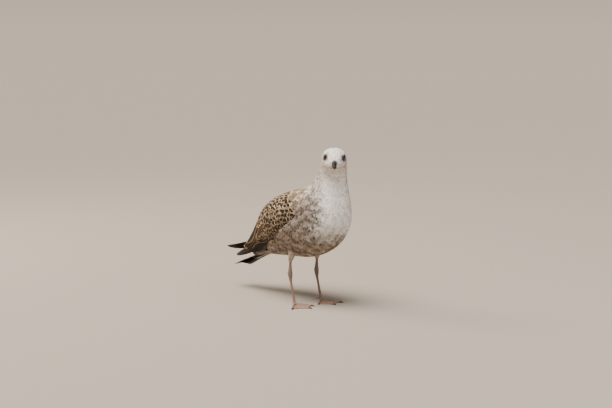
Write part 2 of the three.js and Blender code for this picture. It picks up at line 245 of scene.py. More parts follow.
# The row frame's origin is under the middle of the bird's box: the eyes tell how far the tables' is from it.
eye_centres = {name: turned(np.array(EYE_PLACE) * (side, 1, 1)) for name, side in SIDES.items()}
eye_boxes = [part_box(f"eye_{name}") for name in SIDES]
packed_middle = np.mean([np.array(low + high) / 2 for low, high in eye_boxes], axis=0)
MM = 0.001
SHIFT = packed_middle - np.mean(list(eye_centres.values()), axis=0) * MM


def paint(mesh, colours):
    """Gives a mesh the colour of each point, in the layer Col."""
    layer = mesh.attributes.get("Col") or mesh.attributes.new("Col", "FLOAT_COLOR", "POINT")
    rgba = np.ones((len(mesh.vertices), 4), np.float32)
    rgba[:, :3] = colours
    layer.data.foreach_set("color", rgba.ravel())


def values_of(data, key, width):
    """One value of each element of a mesh's data, as an array that is so wide."""
    values = np.empty(len(data) * width, np.float32)
    data.foreach_get(key, values)
    return values.reshape(-1, width)


def add_object(name, data):
    """An object in the scene."""
    made = bpy.data.objects.new(name, data)
    bpy.context.scene.collection.objects.link(made)
    return made


def add_mesh(name, points, faces, colours=None, maps=None, normals=None):
    """A mesh piece from points in millimetres and arrays of faces, with a colour and map places for each
    point."""
    mesh = bpy.data.meshes.new(name)
    corners = np.concatenate([part.ravel() for part in faces]).astype(np.int32)
    sizes = np.concatenate([np.full(len(part), part.shape[1]) for part in faces])
    starts = np.cumsum(sizes) - sizes
    mesh.vertices.add(len(points))
    mesh.vertices.foreach_set("co", (points * MM + SHIFT).astype(np.float32).ravel())
    mesh.loops.add(len(corners))
    mesh.loops.foreach_set("vertex_index", corners)
    mesh.polygons.add(len(sizes))
    mesh.polygons.foreach_set("loop_start", starts.astype(np.int32))
    mesh.polygons.foreach_set("use_smooth", np.ones(len(sizes), bool))
    mesh.update(calc_edges=True)
    if colours is not None:
        paint(mesh, colours)
    for key, places in (maps or {}).items():
        layer = mesh.uv_layers.new(name=key)
        layer.uv.foreach_set("vector", places[corners].astype(np.float32).ravel())
    if normals is not None:
        mesh.normals_split_custom_set_from_vertices(normals)
    return add_object(name, mesh)


def grid_faces(rows, cols, close=False):
    """The four-sided faces of a grid of points, closed round where the last column meets the first."""
    i, j = crossed(np.arange(rows - 1), np.arange(cols if close else cols - 1))
    here, right = i * cols + j, i * cols + (j + 1) % cols
    return np.stack((here, right, right + cols, here + cols), -1).reshape(-1, 4)


def linear(hex_colour):
    """An sRGB hex colour as linear red, green and blue."""
    value = np.array([int(hex_colour[i : i + 2], 16) for i in (1, 3, 5)]) / 255
    return np.where(value <= 0.04045, value / 12.92, ((value + 0.055) / 1.055) ** 2.4)


# ---- Camera ----
# A 70 mm lens on a 36 mm wide frame, 2.7 m from the bird and half a metre up. It looks from the bird's front
# right and a little down on it.

LENS = 70
SENSOR = 36
CAMERA_UP = 0.5375
CAMERA_AWAY = 2.66
CAMERA_AZIMUTH = math.radians(-38)
CAMERA_DIP = math.radians(6.66)
CAMERA_ASIDE = math.radians(0.096)
leg_low, leg_high = zip(*(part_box(f"leg_{name}") for name in SIDES))
stand_x = (min(low.x for low in leg_low) + max(high.x for high in leg_high)) / 2
stand_y = SHIFT[1]  # the ankles stand at ahead 0

camera = add_object("camera", bpy.data.cameras.new("camera"))
camera.data.lens = LENS
camera.data.sensor_width = SENSOR
camera.location = (
    stand_x + CAMERA_AWAY * math.sin(CAMERA_AZIMUTH),
    stand_y - CAMERA_AWAY * math.cos(CAMERA_AZIMUTH),
    CAMERA_UP,
)
camera.rotation_euler = (math.pi / 2 - CAMERA_DIP, 0, CAMERA_AZIMUTH + CAMERA_ASIDE)
bpy.context.scene.camera = camera

# ---- Floor and light ----
# A wide matt floor like a sweep of studio paper under pale air that matches it at the horizon. A broad soft
# light comes from above the bird's right side, a weaker box stands before it and one behind lights its neck.

FLOOR_COLOUR = "#979087"
FLOOR_RADIUS = 40.0
AIR_COLOUR = "#efdcc5"
AIR_STRENGTH = 0.32
HAZE_STRENGTH = 0.855  # the air's at the horizon, where it meets the far floor
HAZE_HIGH = 0.22


def add_node(tree, kind, settings=None, inputs=None):
    """One shader node with its settings; an input is a value or another node's output."""
    node = tree.nodes.new("ShaderNode" + kind)
    for key, value in (settings or {}).items():
        setattr(node, key, value)
    for key, value in (inputs or {}).items():
        if isinstance(value, bpy.types.NodeSocket):
            tree.links.new(value, node.inputs[key])
        else:
            node.inputs[key].default_value = value
    return node


def new_material(name):
    """A material with an empty node tree, its tree, and a call that gives it its shader from the inputs."""
    material = bpy.data.materials.new(name)
    material.use_nodes = True
    tree = material.node_tree
    tree.nodes.clear()

    def finish(inputs):
        shader = add_node(tree, "BsdfPrincipled", inputs=inputs).outputs["BSDF"]
        add_node(tree, "OutputMaterial", inputs={"Surface": shader})
        return material

    return tree, finish


def own_colour(tree):
    """The colour that the mesh has at each point."""
    return add_node(tree, "Attribute", {"attribute_name": "Col"}).outputs["Color"]


def maths(tree, operation, *values):
    """One sum on nodes' values."""
    return add_node(tree, "Math", {"operation": operation}, dict(enumerate(values))).outputs[0]


def object_place(tree):
    """The place in the row frame of each point."""
    return add_node(tree, "TexCoord").outputs["Object"]


def bumped(tree, height, strength, depth):
    """The normal that a relief of some height gives."""
    inputs = {"Strength": strength, "Distance": depth, "Height": height}
    return add_node(tree, "Bump", inputs=inputs).outputs["Normal"]


def spread(tree, value, ends, span=(0, 1)):
    """A node's value stretched so that it runs between two ends while it goes through a span."""
    inputs = {"Value": value, "From Min": span[0], "From Max": span[1], "To Min": ends[0], "To Max": ends[1]}
    return add_node(tree, "MapRange", inputs=inputs).outputs["Result"]


def toned(tree, colour, tone):
    """A node's colour times a tone."""
    return add_node(tree, "VectorMath", {"operation": "SCALE"}, {0: colour, "Scale": tone}).outputs[0]


# Matt paper: even and pale, with a roughness that gives no reflection.
finish_paper = new_material("matt_paper")[1]
matt_paper = finish_paper({"Base Color": (*linear(FLOOR_COLOUR), 1), "Roughness": 0.9})

ring = np.linspace(0, 2 * np.pi, 96, endpoint=False)
floor_mesh = bpy.data.meshes.new("floor")
floor_rim = np.stack((np.cos(ring), np.sin(ring), ring * 0), -1) * FLOOR_RADIUS
floor_mesh.from_pydata(floor_rim.tolist(), [], [list(range(len(ring)))])
floor_mesh.materials.append(matt_paper)
floor = add_object("floor", floor_mesh)

air = bpy.data.worlds.new("air")
air.use_nodes = True
air_background = air.node_tree.nodes["Background"]
air_background.inputs["Color"].default_value = (*linear(AIR_COLOUR), 1)
air_way = add_node(air.node_tree, "TexCoord").outputs["Generated"]
air_up = add_node(air.node_tree, "SeparateXYZ", inputs={0: air_way}).outputs["Z"]
air_fade_inputs = {"Value": air_up, "From Max": HAZE_HIGH, "To Min": HAZE_STRENGTH, "To Max": AIR_STRENGTH}
air_fade = add_node(air.node_tree, "MapRange", {"interpolation_type": "SMOOTHSTEP"}, air_fade_inputs)
air.node_tree.links.new(air_fade.outputs["Result"], air_background.inputs["Strength"])
bpy.context.scene.world = air

# A far overhead light as wide as a window in the sky, so that the floor is as bright far off as near.
SKYLIGHT_SPREAD = math.radians(42)
SKYLIGHT = 7.0
SKYLIGHT_FROM = (-0.58, -0.12, 1.4)  # the side it comes from, seen from the bird
skylight = bpy.data.lights.new("skylight", "SUN")
skylight.angle = SKYLIGHT_SPREAD
skylight.energy = SKYLIGHT
skylight.color = linear("#fff6ec")
lamp = add_object("skylight", skylight)
lamp.rotation_euler = Vector(SKYLIGHT_FROM).to_track_quat("Z", "Y").to_euler()

# Each soft box: place [azimuth in degrees, distance, height], size in metres, watts, colour.
SOFT_BOXES = {
    "fill": ((5, 2.6, 1.8), 2.0, 30, "#f2f4ff"),
    "back": ((-150, 2.0, 1.8), 1.2, 60, "#ffe9d2"),
}
BIRD_MIDDLE = np.array([0, 0, 0.2])
for name, ((azimuth, away, up), size, watts, colour) in SOFT_BOXES.items():
    soft_box = bpy.data.lights.new("light_" + name, "AREA")
    soft_box.size = size
    soft_box.energy = watts
    soft_box.color = linear(colour)
    lamp = add_object("light_" + name, soft_box)
    azimuth = math.radians(azimuth)
    lamp.location = (away * math.sin(azimuth), -away * math.cos(azimuth), up)
    lamp.rotation_euler = (lamp.location - Vector(BIRD_MIDDLE)).to_track_quat("Z", "Y").to_euler()

# ---- Skin ----
# One closed skin from the bill's base to the tail's root, with the folded wings and the thighs in it. It
# lies under the plumage by the plumage's depth and has its markings, so that nothing else shows where
# feathers part.

# How deep the plumage is over the skin, along the body rows.
DEPTH_ROWS = (0, 1.5, 3, 5, 7, 9, 11, 13, 14)
DEPTHS = (1.0, 1.4, 2.0, 3.4, 5.0, 5.5, 5.0, 3.0, 1.5)
WING_DEPTH = 3.6
WING_THICK = (2, 12, 18, 20, 20, 16, 13, 9, 6, 3, 2)  # per wing row
SKIN_VOXEL = 0.002

# Colours of the plumage: ground colours and the dark of the marks on them.
WHITE = linear("#f3f0eb")
CREAM = linear("#d0c0aa")
# The belly's own brownish wash, painted darker with painted shade, as under the body.
BELLY_TAN_AND_SHADE = linear("#7c654c")
PALE_GREY = linear("#897d74")
MARK_GREY = linear("#40362f")
MARK_BROWN = linear("#3d2e20")
SMUDGE = linear("#2c2521")
CHEEK = linear("#cfb7a0")
SADDLE = linear("#ad9678")
RUMP_BROWN = linear("#584736")
DUSKY = linear("#a59b92")

# Over which body rows each part of the plumage gives way to the next.
HEAD_END = (2.8, 3.9)
NECK_END = (5.0, 6.6)
TRUNK_END = (10.8, 12)
# Spots of colour on the head: where, as ahead of the eye and above it, and how far they spread.
CHEEK_SPOT = ((-4, -19), (13, 12))
MASK_SPOT = ((-10, -3), (11, 8))
LORE_SPOT = ((13, -5), (4, 3))


def ripple(points, size):
    """A soft irregular pattern from -1 to 1: products of sines whose waves are about size long."""
    x, y, z = np.moveaxis(points / size * 2 * np.pi, -1, 0)
    waves = np.sin(x + 1.7 * np.sin(0.7 * y + 1.3)) * np.sin(0.9 * y + 1.9 * np.sin(0.8 * z))
    return (waves + np.sin(0.8 * z + 1.5 * np.sin(0.6 * x + 2.1)) * np.sin(0.5 * (x - y))) / 2


def from_eye(points):
    """How far points are from the nearer eye's centre in the head's own places, ahead of it and above it."""
    own = unturned(points)
    beside = np.stack((np.abs(own[..., 0]), own[..., 1], own[..., 2]), -1) - np.array(EYE_PLACE)
    return np.linalg.norm(beside, axis=-1), -beside[..., 1], beside[..., 2]


def plumage(t, angle, points):
    """The ground colour at a place of the body, the colour of the marks there and how strong they are: a
    white head and breast, a streaked nape, mottled breast sides, a belly washed brown and darkened by painted
    shade the lower it lies, barred vent and rump, a buff mantle."""
    down = (1 - np.cos(angle)) / 2 + 0.05 * ripple(points, 26)
    up = points[..., 2]
    back = 1 - smoothstep(0.2, 0.46, down)
    flank = smoothstep(0.2, 0.4, down) * (1 - smoothstep(0.6, 0.92, down))
    front = smoothstep(0.6, 0.92, down)
    head = 1 - smoothstep(*HEAD_END, t)
    neck = smoothstep(*HEAD_END, t) * (1 - smoothstep(*NECK_END, t))
    trunk = smoothstep(*NECK_END, t) * (1 - smoothstep(*TRUNK_END, t))
    stern = smoothstep(*TRUNK_END, t)
    # Where the belly's colour goes, more the lower it lies: partly its own wash, partly painted shade.
    low = smoothstep(5.6, 7.4, t) * (1 - smoothstep(130, 196, up))
    blotch = ripple(points, 34)

    tan_and_shade = np.clip(low * (0.85 + 0.3 * blotch), 0, 1) * (1 - stern * 0.6)
    tan_and_shade = tan_and_shade * (1 - 0.4 * flank * smoothstep(8.2, 9.6, t))
    cream = np.clip(back * (trunk + 0.35 * neck) + 0.4 * stern + 0.2 * flank * trunk, 0, 1)
    ground = mix(WHITE, CREAM, cream)
    ground = mix(ground, PALE_GREY, np.clip(flank * (0.35 * neck + 0.9 * trunk), 0, 1))
    ground = mix(ground, BELLY_TAN_AND_SHADE, tan_and_shade)
    far, ahead, above = from_eye(points)
    cheek = spot(ahead, above, *CHEEK_SPOT) * head
    mask = spot(ahead, above, *MASK_SPOT) * head
    gape = np.exp(-(((above + 20 + 0.12 * ahead) / 1.5) ** 2)) * smoothstep(-8, 6, ahead) * head
    mottle = 0.22 * head * np.clip(1 + 3 * ripple(points, 8), 0, 3)
    ground = mix(ground, CHEEK, np.clip(cheek, 0, 0.9))
    ground = mix(ground, DUSKY, np.clip(0.55 * mask + 0.65 * gape + mottle, 0, 0.8))
    saddle = back * smoothstep(5.6, 7.2, t) * (1 - smoothstep(8.4, 9.6, t))
    ground = mix(ground, SADDLE, saddle * 0.75)
    rump = np.maximum(back * smoothstep(8.4, 9.6, t), stern * smoothstep(90, 100, up))
    ground = mix(ground, RUMP_BROWN, rump)

    strength = head * (0.18 + 0.32 * back * smoothstep(1.2, 3.2, t) + 0.05 * blotch)
    strength = strength + neck * (0.7 * back + 0.7 * flank + 0.3 * front)
    strength = strength + trunk * (0.8 * back + 0.3 * saddle + flank * (1.5 + 0.2 * blotch) + 0.26 * front)
    strength = strength + trunk * low * (0.45 * front + 0.3 * flank) + stern * (0.95 + 0.1 * blotch)
    towards = smoothstep(-0.5, 0.7, (0.8 * ahead - 0.6 * above) / np.maximum(far, 1))
    smudge = np.exp(-((np.maximum(far - 8.7, 0) / 2.3) ** 2)) * (0.2 + 0.8 * towards) * head
    lore = spot(ahead, above, *LORE_SPOT) * head
    ground = mix(ground, SMUDGE, np.clip(smudge * 0.92 + lore * 0.35, 0, 0.95))
    mark = mix(MARK_GREY, MARK_BROWN, np.clip(back * trunk + low, 0, 1))
    return ground, mark, np.clip(strength, 0, 1)


def gathered(t, angle, points):
    """How the marks gather, from 0 to 1: in streaks down the head and neck, in blotches about 10 mm wide on
    the breast and mantle, and in wavy bars along the flanks."""
    streaks = ripple(np.stack((angle * 38, t * 22, 0 * t), -1), 9)
    blotches = ripple(points, 22) + 0.5 * ripple(points[..., ::-1], 12)
    waves = ripple(points * (0.3, 0.35, 1), 12)
    neck = 1 - smoothstep(4.8, 6.2, t)
    rear = smoothstep(7.6, 9, t)
    return smoothstep(-0.3, 0.32, neck * streaks + (1 - neck) * ((1 - rear) * blotches + rear * waves))


def closed_rings(rings):
    """Rings (rows of points, each row closed) as points and faces, with a middle point closing each end."""
    rows, cols = rings.shape[:2]
    points = np.concatenate((rings.reshape(-1, 3), [rings[0].mean(0)], [rings[-1].mean(0)]))
    k = np.arange(cols)
    after = (k + 1) % cols
    first = np.stack((after, k, np.full(cols, rows * cols)), -1)
    last = np.stack((k, after, np.full(cols, rows * cols + 1)), -1) + np.array([1, 1, 0]) * (rows - 1) * cols
    return points, [grid_faces(rows, cols, close=True), first, last]


def with_ends(colours):
    """The colours of rings' points and, after them, of the two middle points that close the ends."""
    colours = colours.reshape(-1, 3)
    return np.concatenate((colours, colours[:1], colours[-1:]))


def joined(parts):
    """Several (points, faces) put into one list of points and one of faces."""
    starts = np.cumsum([0] + [len(points) for points, _ in parts[:-1]])
    faces = [face + start for (_, own), start in zip(parts, starts) for face in own]
    return np.concatenate([points for points, _ in parts]), faces


def make_one(piece, voxel):
    """Makes one closed skin of a piece's parts."""
    remesh = piece.modifiers.new("one_skin", "REMESH")
    remesh.mode = "VOXEL"
    remesh.voxel_size = voxel
    remesh.use_smooth_shade = True


def settle(piece):
    """Gives the piece the mesh that its modifiers make, and takes them away."""
    graph = bpy.context.evaluated_depsgraph_get()
    made = bpy.data.meshes.new_from_object(piece.evaluated_get(graph))
    piece.modifiers.clear()
    piece.data = made
    return made


inner_t, inner_angle = crossed(np.linspace(0.12, BODY_LAST - 0.05, 200), angles_round(121))
inner = sample(body_sheet, inner_t / BODY_LAST, inner_angle / (2 * np.pi))
inner_depth = np.interp(inner_t, DEPTH_ROWS, DEPTHS)[..., None]
body_inner = inner[..., :3] - inner[..., 9:] * inner_depth
ground, mark, strength = plumage(inner_t, inner_angle, inner[..., :3])
skin_parts = [closed_rings(body_inner)]
skin_colours = [with_ends(mix(ground, mark, strength * 0.4))]

WING_BROWN = linear("#2a2018")
SLAB_DOWN = (0.05, 0.94)  # the wing's flesh reaches so far over its face
for name, side in SIDES.items():
    slab_t, slab_down = crossed(np.linspace(0.5, 9.1, 90), np.linspace(*SLAB_DOWN, 40))
    face = sample(wing_sheets[name], slab_t / WING_LAST, (slab_down - WING_DOWN[0]) / np.ptp(WING_DOWN))
    outer = face[..., :3] - face[..., 9:] * WING_DEPTH
    bulge = np.sin(np.pi * (slab_down - SLAB_DOWN[0]) / np.ptp(SLAB_DOWN))
    thick = np.interp(slab_t, np.arange(WING_LAST + 1), WING_THICK) * bulge
    inside = outer - face[..., 9:] * thick[..., None]
    rings = np.concatenate((outer, inside[:, -2:0:-1]), 1)
    skin_parts.append(closed_rings(rings if side > 0 else rings[:, ::-1]))
    skin_colours.append(np.broadcast_to(WING_BROWN, (len(skin_parts[-1][0]), 3)))

THIGH_INSET = 1.6


def thigh_point(side, t, angle, inset=0.0):
    """A level ring at row t of the thigh."""
    out, ahead, up, across, fore_aft = np.moveaxis(row_at(THIGH_ROWS, t), -1, 0)
    x = out + np.sin(angle) * (across - inset)
    return np.stack((side * x, -ahead - np.cos(angle) * (fore_aft - inset), up), -1)


for name, side in SIDES.items():
    limb_t, limb_angle = crossed(np.linspace(0, 3.9, 24), angles_round(25))
    rings = thigh_point(side, limb_t, limb_angle, THIGH_INSET)
    skin_parts.append(closed_rings(rings if side < 0 else rings[:, ::-1]))
    skin_colours.append(np.broadcast_to(CREAM, (len(skin_parts[-1][0]), 3)))

form_points, form_faces = joined(skin_parts)
skin_form = add_mesh("skin_form", form_points, form_faces, np.concatenate(skin_colours))
skin = add_object("skin", skin_form.data.copy())
make_one(skin, SKIN_VOXEL)
settle(skin).attributes.new("Col", "FLOAT_COLOR", "POINT")
markings = skin.modifiers.new("markings", "DATA_TRANSFER")
markings.object = skin_form
markings.use_vert_data = True
markings.data_types_verts = {"COLOR_VERTEX"}
markings.vert_mapping = "POLYINTERP_NEAREST"
settle(skin)
bpy.data.objects.remove(skin_form)

# The lids: a thin wrinkled ring round each eye, whose inner edge lies on the ball. Its profile runs from
# under the rim over it and down into the face: degrees past the opening's edge, and millimetres above the
# ball.
EYE_SIGHT = (1, -0.62, 0.05)  # the left eye's line of sight: side, back, up
LID_OPENING = (5.4, 4.6)  # half length and half height
LID_CORNER = 0.7
LID_PROFILE = np.array([
    [3, -0.5],
    [0.5, -0.05],
    [-0.5, 0.25],
    [1.5, 0.5],
    [6, 0.55],
    [13, 0.4],
    [20, 0.1],
    [30, -1.2],
    [30, -2.4],
    [12, -2.4],
])
LID_HIGH = 1.4  # skin nearer to the ball than this is the lids'
LID_DARK = linear("#1f1a17")
LID_PALE = linear("#4d443e")
eye_axes = {
    name: unit(turned(np.array(EYE_SIGHT) * (side, 1, 1)) - turned(np.zeros(3)))
    for name, side in SIDES.items()
}


def eye_frame(name):
    """An eye's centre, and its line of sight, its aft and its upward directions."""
    axis = eye_axes[name]
    aft = unit(np.cross(axis, [0, 0, 1]) * SIDES[name])
    return eye_centres[name], axis, aft, unit(np.cross(axis, aft) * -SIDES[name])


def around_eye(name, polar, round_angle, radius):
    """Points at a polar angle from an eye's line of sight, at an angle round it, at a radius from its
    centre."""
    centre, axis, aft, upward = eye_frame(name)
    values = np.broadcast_arrays(polar, round_angle, radius)
    polar, round_angle, radius = (value[..., None] for value in values)
    rim = np.cos(round_angle) * aft + np.sin(round_angle) * upward
    return centre + radius * (np.cos(polar) * axis + np.sin(polar) * rim)


for name in SIDES:
    lid_row, round_angle = crossed(np.linspace(0, len(LID_PROFILE), 61)[:-1], angles_round(121))
    closed_profile = np.concatenate((LID_PROFILE[-1:], LID_PROFILE, LID_PROFILE[:2]))
    past, above = np.moveaxis(row_at(closed_profile, lid_row + 1), -1, 0)
    c, s = np.cos(round_angle), np.sin(round_angle)
    ellipse = (c / LID_OPENING[0]) ** 2 + (s / LID_OPENING[1]) ** 2
    opening = 1 / np.sqrt(ellipse) + LID_CORNER * np.abs(c) ** 30
    wrinkle = 0.07 * np.sin(past * 1.9 + 0.8 * np.sin(round_angle * 5))
    wrinkle = wrinkle + 0.04 * np.sin(round_angle * 37 + past)
    above = above + wrinkle * smoothstep(0.1, 0.6, above)
    polar = np.arcsin(opening / EYE_RADIUS) + np.radians(past)
    ring = around_eye(name, polar, round_angle, EYE_RADIUS + above)
    rows, cols = lid_row.shape
    faces = grid_faces(rows + 1, cols, close=True) % (rows * cols)  # the last row meets the first
    faces = faces[:, ::-1] if name == "left" else faces
    lid = add_mesh(f"lid_{name}", ring.reshape(-1, 3), [faces], np.broadcast_to(LID_DARK, (rows * cols, 3)))
    merge = skin.modifiers.new("lid", "BOOLEAN")
    merge.operation = "UNION"
    merge.solver = "MANIFOLD"
    merge.object = lid
    settle(skin)
    bpy.data.objects.remove(lid)

skin_places = (values_of(skin.data.vertices, "co", 3) - SHIFT) / MM
skin_paint = values_of(skin.data.attributes["Col"].data, "color", 4)[:, :3]
for name, centre in eye_centres.items():
    above = np.linalg.norm(skin_places - centre, axis=1) - EYE_RADIUS
    near = above < LID_HIGH
    shade = smoothstep(0.3, 0.9, above) * 0.5 + 0.2 * ripple(skin_places, 1.3)
    skin_paint[near] = mix(LID_DARK, LID_PALE, np.clip(shade, 0, 1))[near]
paint(skin.data, skin_paint)

# Skin under plumage: dull and soft, dotted with the feathers' roots about 3 mm apart.
ROOT_SPACING = 0.003
hide, finish_hide = new_material("feathered_skin")
roots = add_node(hide, "TexVoronoi", inputs={"Vector": object_place(hide), "Scale": 1 / ROOT_SPACING})
dots = bumped(hide, roots.outputs["Distance"], 0.5, 0.0006)
feathered_skin = finish_hide({"Base Color": own_colour(hide), "Roughness": 0.85, "Normal": dots})
skin.data.materials.clear()
skin.data.materials.append(feathered_skin)
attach(skin, "root")
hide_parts("head", "neck", "trunk", "rump", *(f"thigh_{name}" for name in SIDES))
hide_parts(*(f"wing_{name}_{part}" for name in SIDES for part in ("coverts", "tertials")))

# ---- Plumage of the head, neck and body ----
# Contour feathers in staggered rows: short and dense on the face, longer and looser down the neck and over
# the breast, where they lie across the wings' front and lower edges. Each is a thin closed vane with a
# frayed tip.

# The place where the plumage of the body ends on the wing: how far ahead it is at each height.
EDGE_UP = (104, 118, 134, 142, 162, 181, 188, 210, 225, 240, 262)
EDGE_AHEAD = (-96, -86, -76, -44, 10, 42, 52, 66, 56, 30, -4)
MANTLE_END = -2  # behind this the wings cover the back, but for a strip along the spine
RUMP_START = -122  # behind this the strip runs on over the rump, under the wings' long inner quills
STRIP_HALF = 9
WING_LOW = 104  # how high the lower edges of the wings are at the rear
OVER_WING = 1.6  # how far above the wing's own feathers the body's lie there
EYE_COVER = 8.0  # the plumage's distance from an eye's centre where it meets the lids
EYE_SOFTNESS = 0.8

# The plan of a vane: how its places lie across (-1 to 1) and along (0 root to 1 tip), the width there, the
# share of the fraying, and its faces. Its upper side is a grid, its under side two strips that meet at the
# shaft.
Plan = namedtuple("Plan", "x y width fray faces")


def vane_plan(across, along, root_width=0.3, widest=0.6, tip_width=0.45):
    """A vane's plan, with its rows closer towards the tip, which shows: the width rises from the root to the
    widest place on a smooth curve, and falls to the tip on an ellipse."""
    x = np.linspace(-1, 1, across)
    y = 1 - (1 - np.linspace(0, 1, along)) ** 1.6
    rise = root_width + (1 - root_width) * smoothstep(0, widest, y)
    fall = np.sqrt(np.clip(1 - ((y - widest) / (1 - widest)) ** 2, 0, 1))
    width = np.where(y < widest, rise, tip_width + (1 - tip_width) * fall)
    top = grid_faces(along, across)
    k = np.arange(along - 1)
    left, right, spine = k * across, k * across + across - 1, along * across + k
    under_left = np.stack((left, left + across, spine + 1, spine), -1)
    under_right = np.stack((spine, spine + 1, right + across, right), -1)
    j = np.arange(across - 1)
    last = (along - 1) * across + j
    root = np.stack((j + 1, j, j * 0 + along * across), -1)
    tip = np.stack((last, last + 1, j * 0 + along * across + along - 1), -1)
    fours, threes = np.concatenate((top, under_left, under_right)), np.concatenate((root, tip))
    return Plan(x, y, width, y**4, [fours, threes])


def solve(here, offset):
    """The steps in u and v that move a place on a sheet by an offset in space."""
    along, around = here[..., 3:6], here[..., 6:9]
    aa, ab, bb = ((p * q).sum(-1) for p, q in ((along, along), (along, around), (around, around)))
    pa, pb = (offset * along).sum(-1), (offset * around).sum(-1)
    det = np.maximum(aa * bb - ab * ab, 1e-9)
    return (pa * bb - pb * ab) / det, (pb * aa - pa * ab) / det


SINK_CURVE = 1.3  # the power by which a vane comes out of the plumage under it


def lay_vanes(
    sheet, plan, u, v, length, half, tilt, sink, rise=0.0, cup=0.1, twist=0.0, fray=0.0, thick=0.25, seed=1
):
    """Vanes laid on a sheet. From its root each one's middle line is stepped along the sheet's rows, turned
    by tilt, and points to both sides are found by offsets on the sheet. Its height over the sheet runs from
    -sink at the root to rise at the tip; cup arches it across, and twist lifts one edge over its
    neighbour's."""
    draw = np.random.default_rng(seed)
    count, across = len(u), len(plan.x)
    length, half, tilt, sink, rise = (
        np.broadcast_to(value, (count,)) for value in (length, half, tilt, sink, rise)
    )
    jags = draw.uniform(-1, 1, (count, across)) * fray
    u, v = u.copy(), v.copy()
    angle = tilt[:, None]
    points, normals, spine = [], [], []
    for k, y in enumerate(plan.y):
        here = sample(sheet, u, v)
        normal = here[..., 9:]
        ahead = unit(here[..., 3:6])
        aside = unit(np.cross(ahead, normal) * sheet.outward)
        lie = np.cos(angle) * ahead + np.sin(angle) * aside
        cross = np.cos(angle) * aside - np.sin(angle) * ahead
        reach = half[:, None] * plan.width[k] * plan.x
        offset = cross[:, None] * reach[..., None]
        offset = offset + lie[:, None] * (jags * length[:, None] * plan.fray[k])[..., None]
        du, dv = solve(here[:, None], offset)
        near = sample(sheet, u[:, None] + du, v[:, None] + dv)
        height = -sink * (1 - y) ** SINK_CURVE + rise * y
        arch = cup * half[:, None] * (1 - plan.x**2) * smoothstep(-0.2, 0.5, y)
        height = height[:, None] + arch + twist * reach
        points.append(near[..., :3] + normal[:, None] * height[..., None])
        shade = near[..., 9:] + cross[:, None] * (plan.x * 0.35)[:, None] + lie[:, None] * (0.25 * (y - 0.6))
        normals.append(unit(shade))
        middle = points[-1][:, across // 2] - normal * thick - lie * (0.3 * thick * (y > 0.99))
        spine.append(middle)
        if k + 1 < len(plan.y):
            step = (plan.y[k + 1] - y) * length
            du, dv = solve(here, lie * step[:, None])
            u, v = u + du, v + dv
    points = np.concatenate((np.stack(points, 1).reshape(count, -1, 3), np.stack(spine, 1)), 1)
    normals = np.stack(normals, 1).reshape(count, -1, 3)
    under = -normals.reshape(count, len(plan.y), across, 3)[:, :, across // 2]
    return points, np.concatenate((normals, under), 1)


def vane_places(plan):
    """The places across and along of a vane's points, those of its under side last."""
    x = np.concatenate((np.tile(plan.x, len(plan.y)), plan.y * 0))
    return x, np.concatenate((np.repeat(plan.y, len(plan.x)), plan.y))


PATCH = 0.003  # the size of a vane's patch on the map for baking, at its root's place on the unwrapped sheet


def feather_piece(name, batches, material, patch=PATCH):
    """One piece from batches of vanes: (sheet, plan, points, normals, colours, root u, root v, length,
    half)."""
    points, normals, colours, barbs, places, faces = [], [], [], [], [], []
    start = 0
    for sheet, plan, batch_points, batch_normals, batch_colours, u, v, length, half in batches:
        count, size = batch_points.shape[:2]
        x, y = vane_places(plan)
        firsts = start + np.arange(count) * size
        for part in plan.faces:
            turned_part = part if sheet.outward > 0 else part[:, ::-1]
            faces.append((turned_part[None] + firsts[:, None, None]).reshape(-1, part.shape[1]))
        points.append(batch_points.reshape(-1, 3))
        normals.append(batch_normals.reshape(-1, 3))
        colours.append(batch_colours.reshape(-1, 3))
        length, half = np.broadcast_to(length, (count,)), np.broadcast_to(half, (count,))
        barbs.append(np.stack((half[:, None] * x, length[:, None] * y), -1).reshape(-1, 2))
        place = np.stack((v[:, None] % 1 + x * 0.45 * patch, u[:, None] + (y - 0.5) * patch), -1)
        places.append(place.reshape(-1, 2))
        start += count * size
    maps = {"barbs": np.concatenate(barbs), "OFBake": np.concatenate(places)}
    points, colours, normals = (np.concatenate(values) for values in (points, colours, normals))
    piece = add_mesh(name, points, faces, colours, maps, normals)
    piece.data.materials.append(material)
    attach(piece, "root")
    return piece


def rows_over(sheet, spacing, first, last, draw):
    """Root places in staggered rows around a sheet, u from first to last; spacing(u) is in millimetres."""
    fine = np.linspace(0, 1, 400)
    mid = sample(sheet, fine[:, None], np.linspace(0, 0.98, 50)[None])
    long_of = np.linalg.norm(mid[..., 3:6], axis=-1).mean(1)
    round_of = np.linalg.norm(mid[..., 6:9], axis=-1).mean(1)
    us, vs = [], []
    u, row = first, 0
    while u < last:
        gap = spacing(u)
        count = max(int(np.interp(u, fine, round_of) / gap), 8)
        v = (np.arange(count) + 0.5 * (row % 2)) / count
        vs.append(v + draw.uniform(-0.28, 0.28, count) / count)
        us.append(u + draw.uniform(-0.3, 0.3, count) * gap / np.interp(u, fine, long_of))
        u += gap / np.interp(u, fine, long_of)
        row += 1
    return np.concatenate(us), np.concatenate(vs)


def blurred(field, rounds):
    """A field on the body's grid, smoothed along and around by repeated means of neighbours."""
    for _ in range(rounds):
        padded = np.concatenate((field[:1], field, field[-1:]))
        field = (padded[:-2] + 2 * field + padded[2:]) / 4
        field = (np.roll(field, 1, 1) + 2 * field + np.roll(field, -1, 1)) / 4
    return field


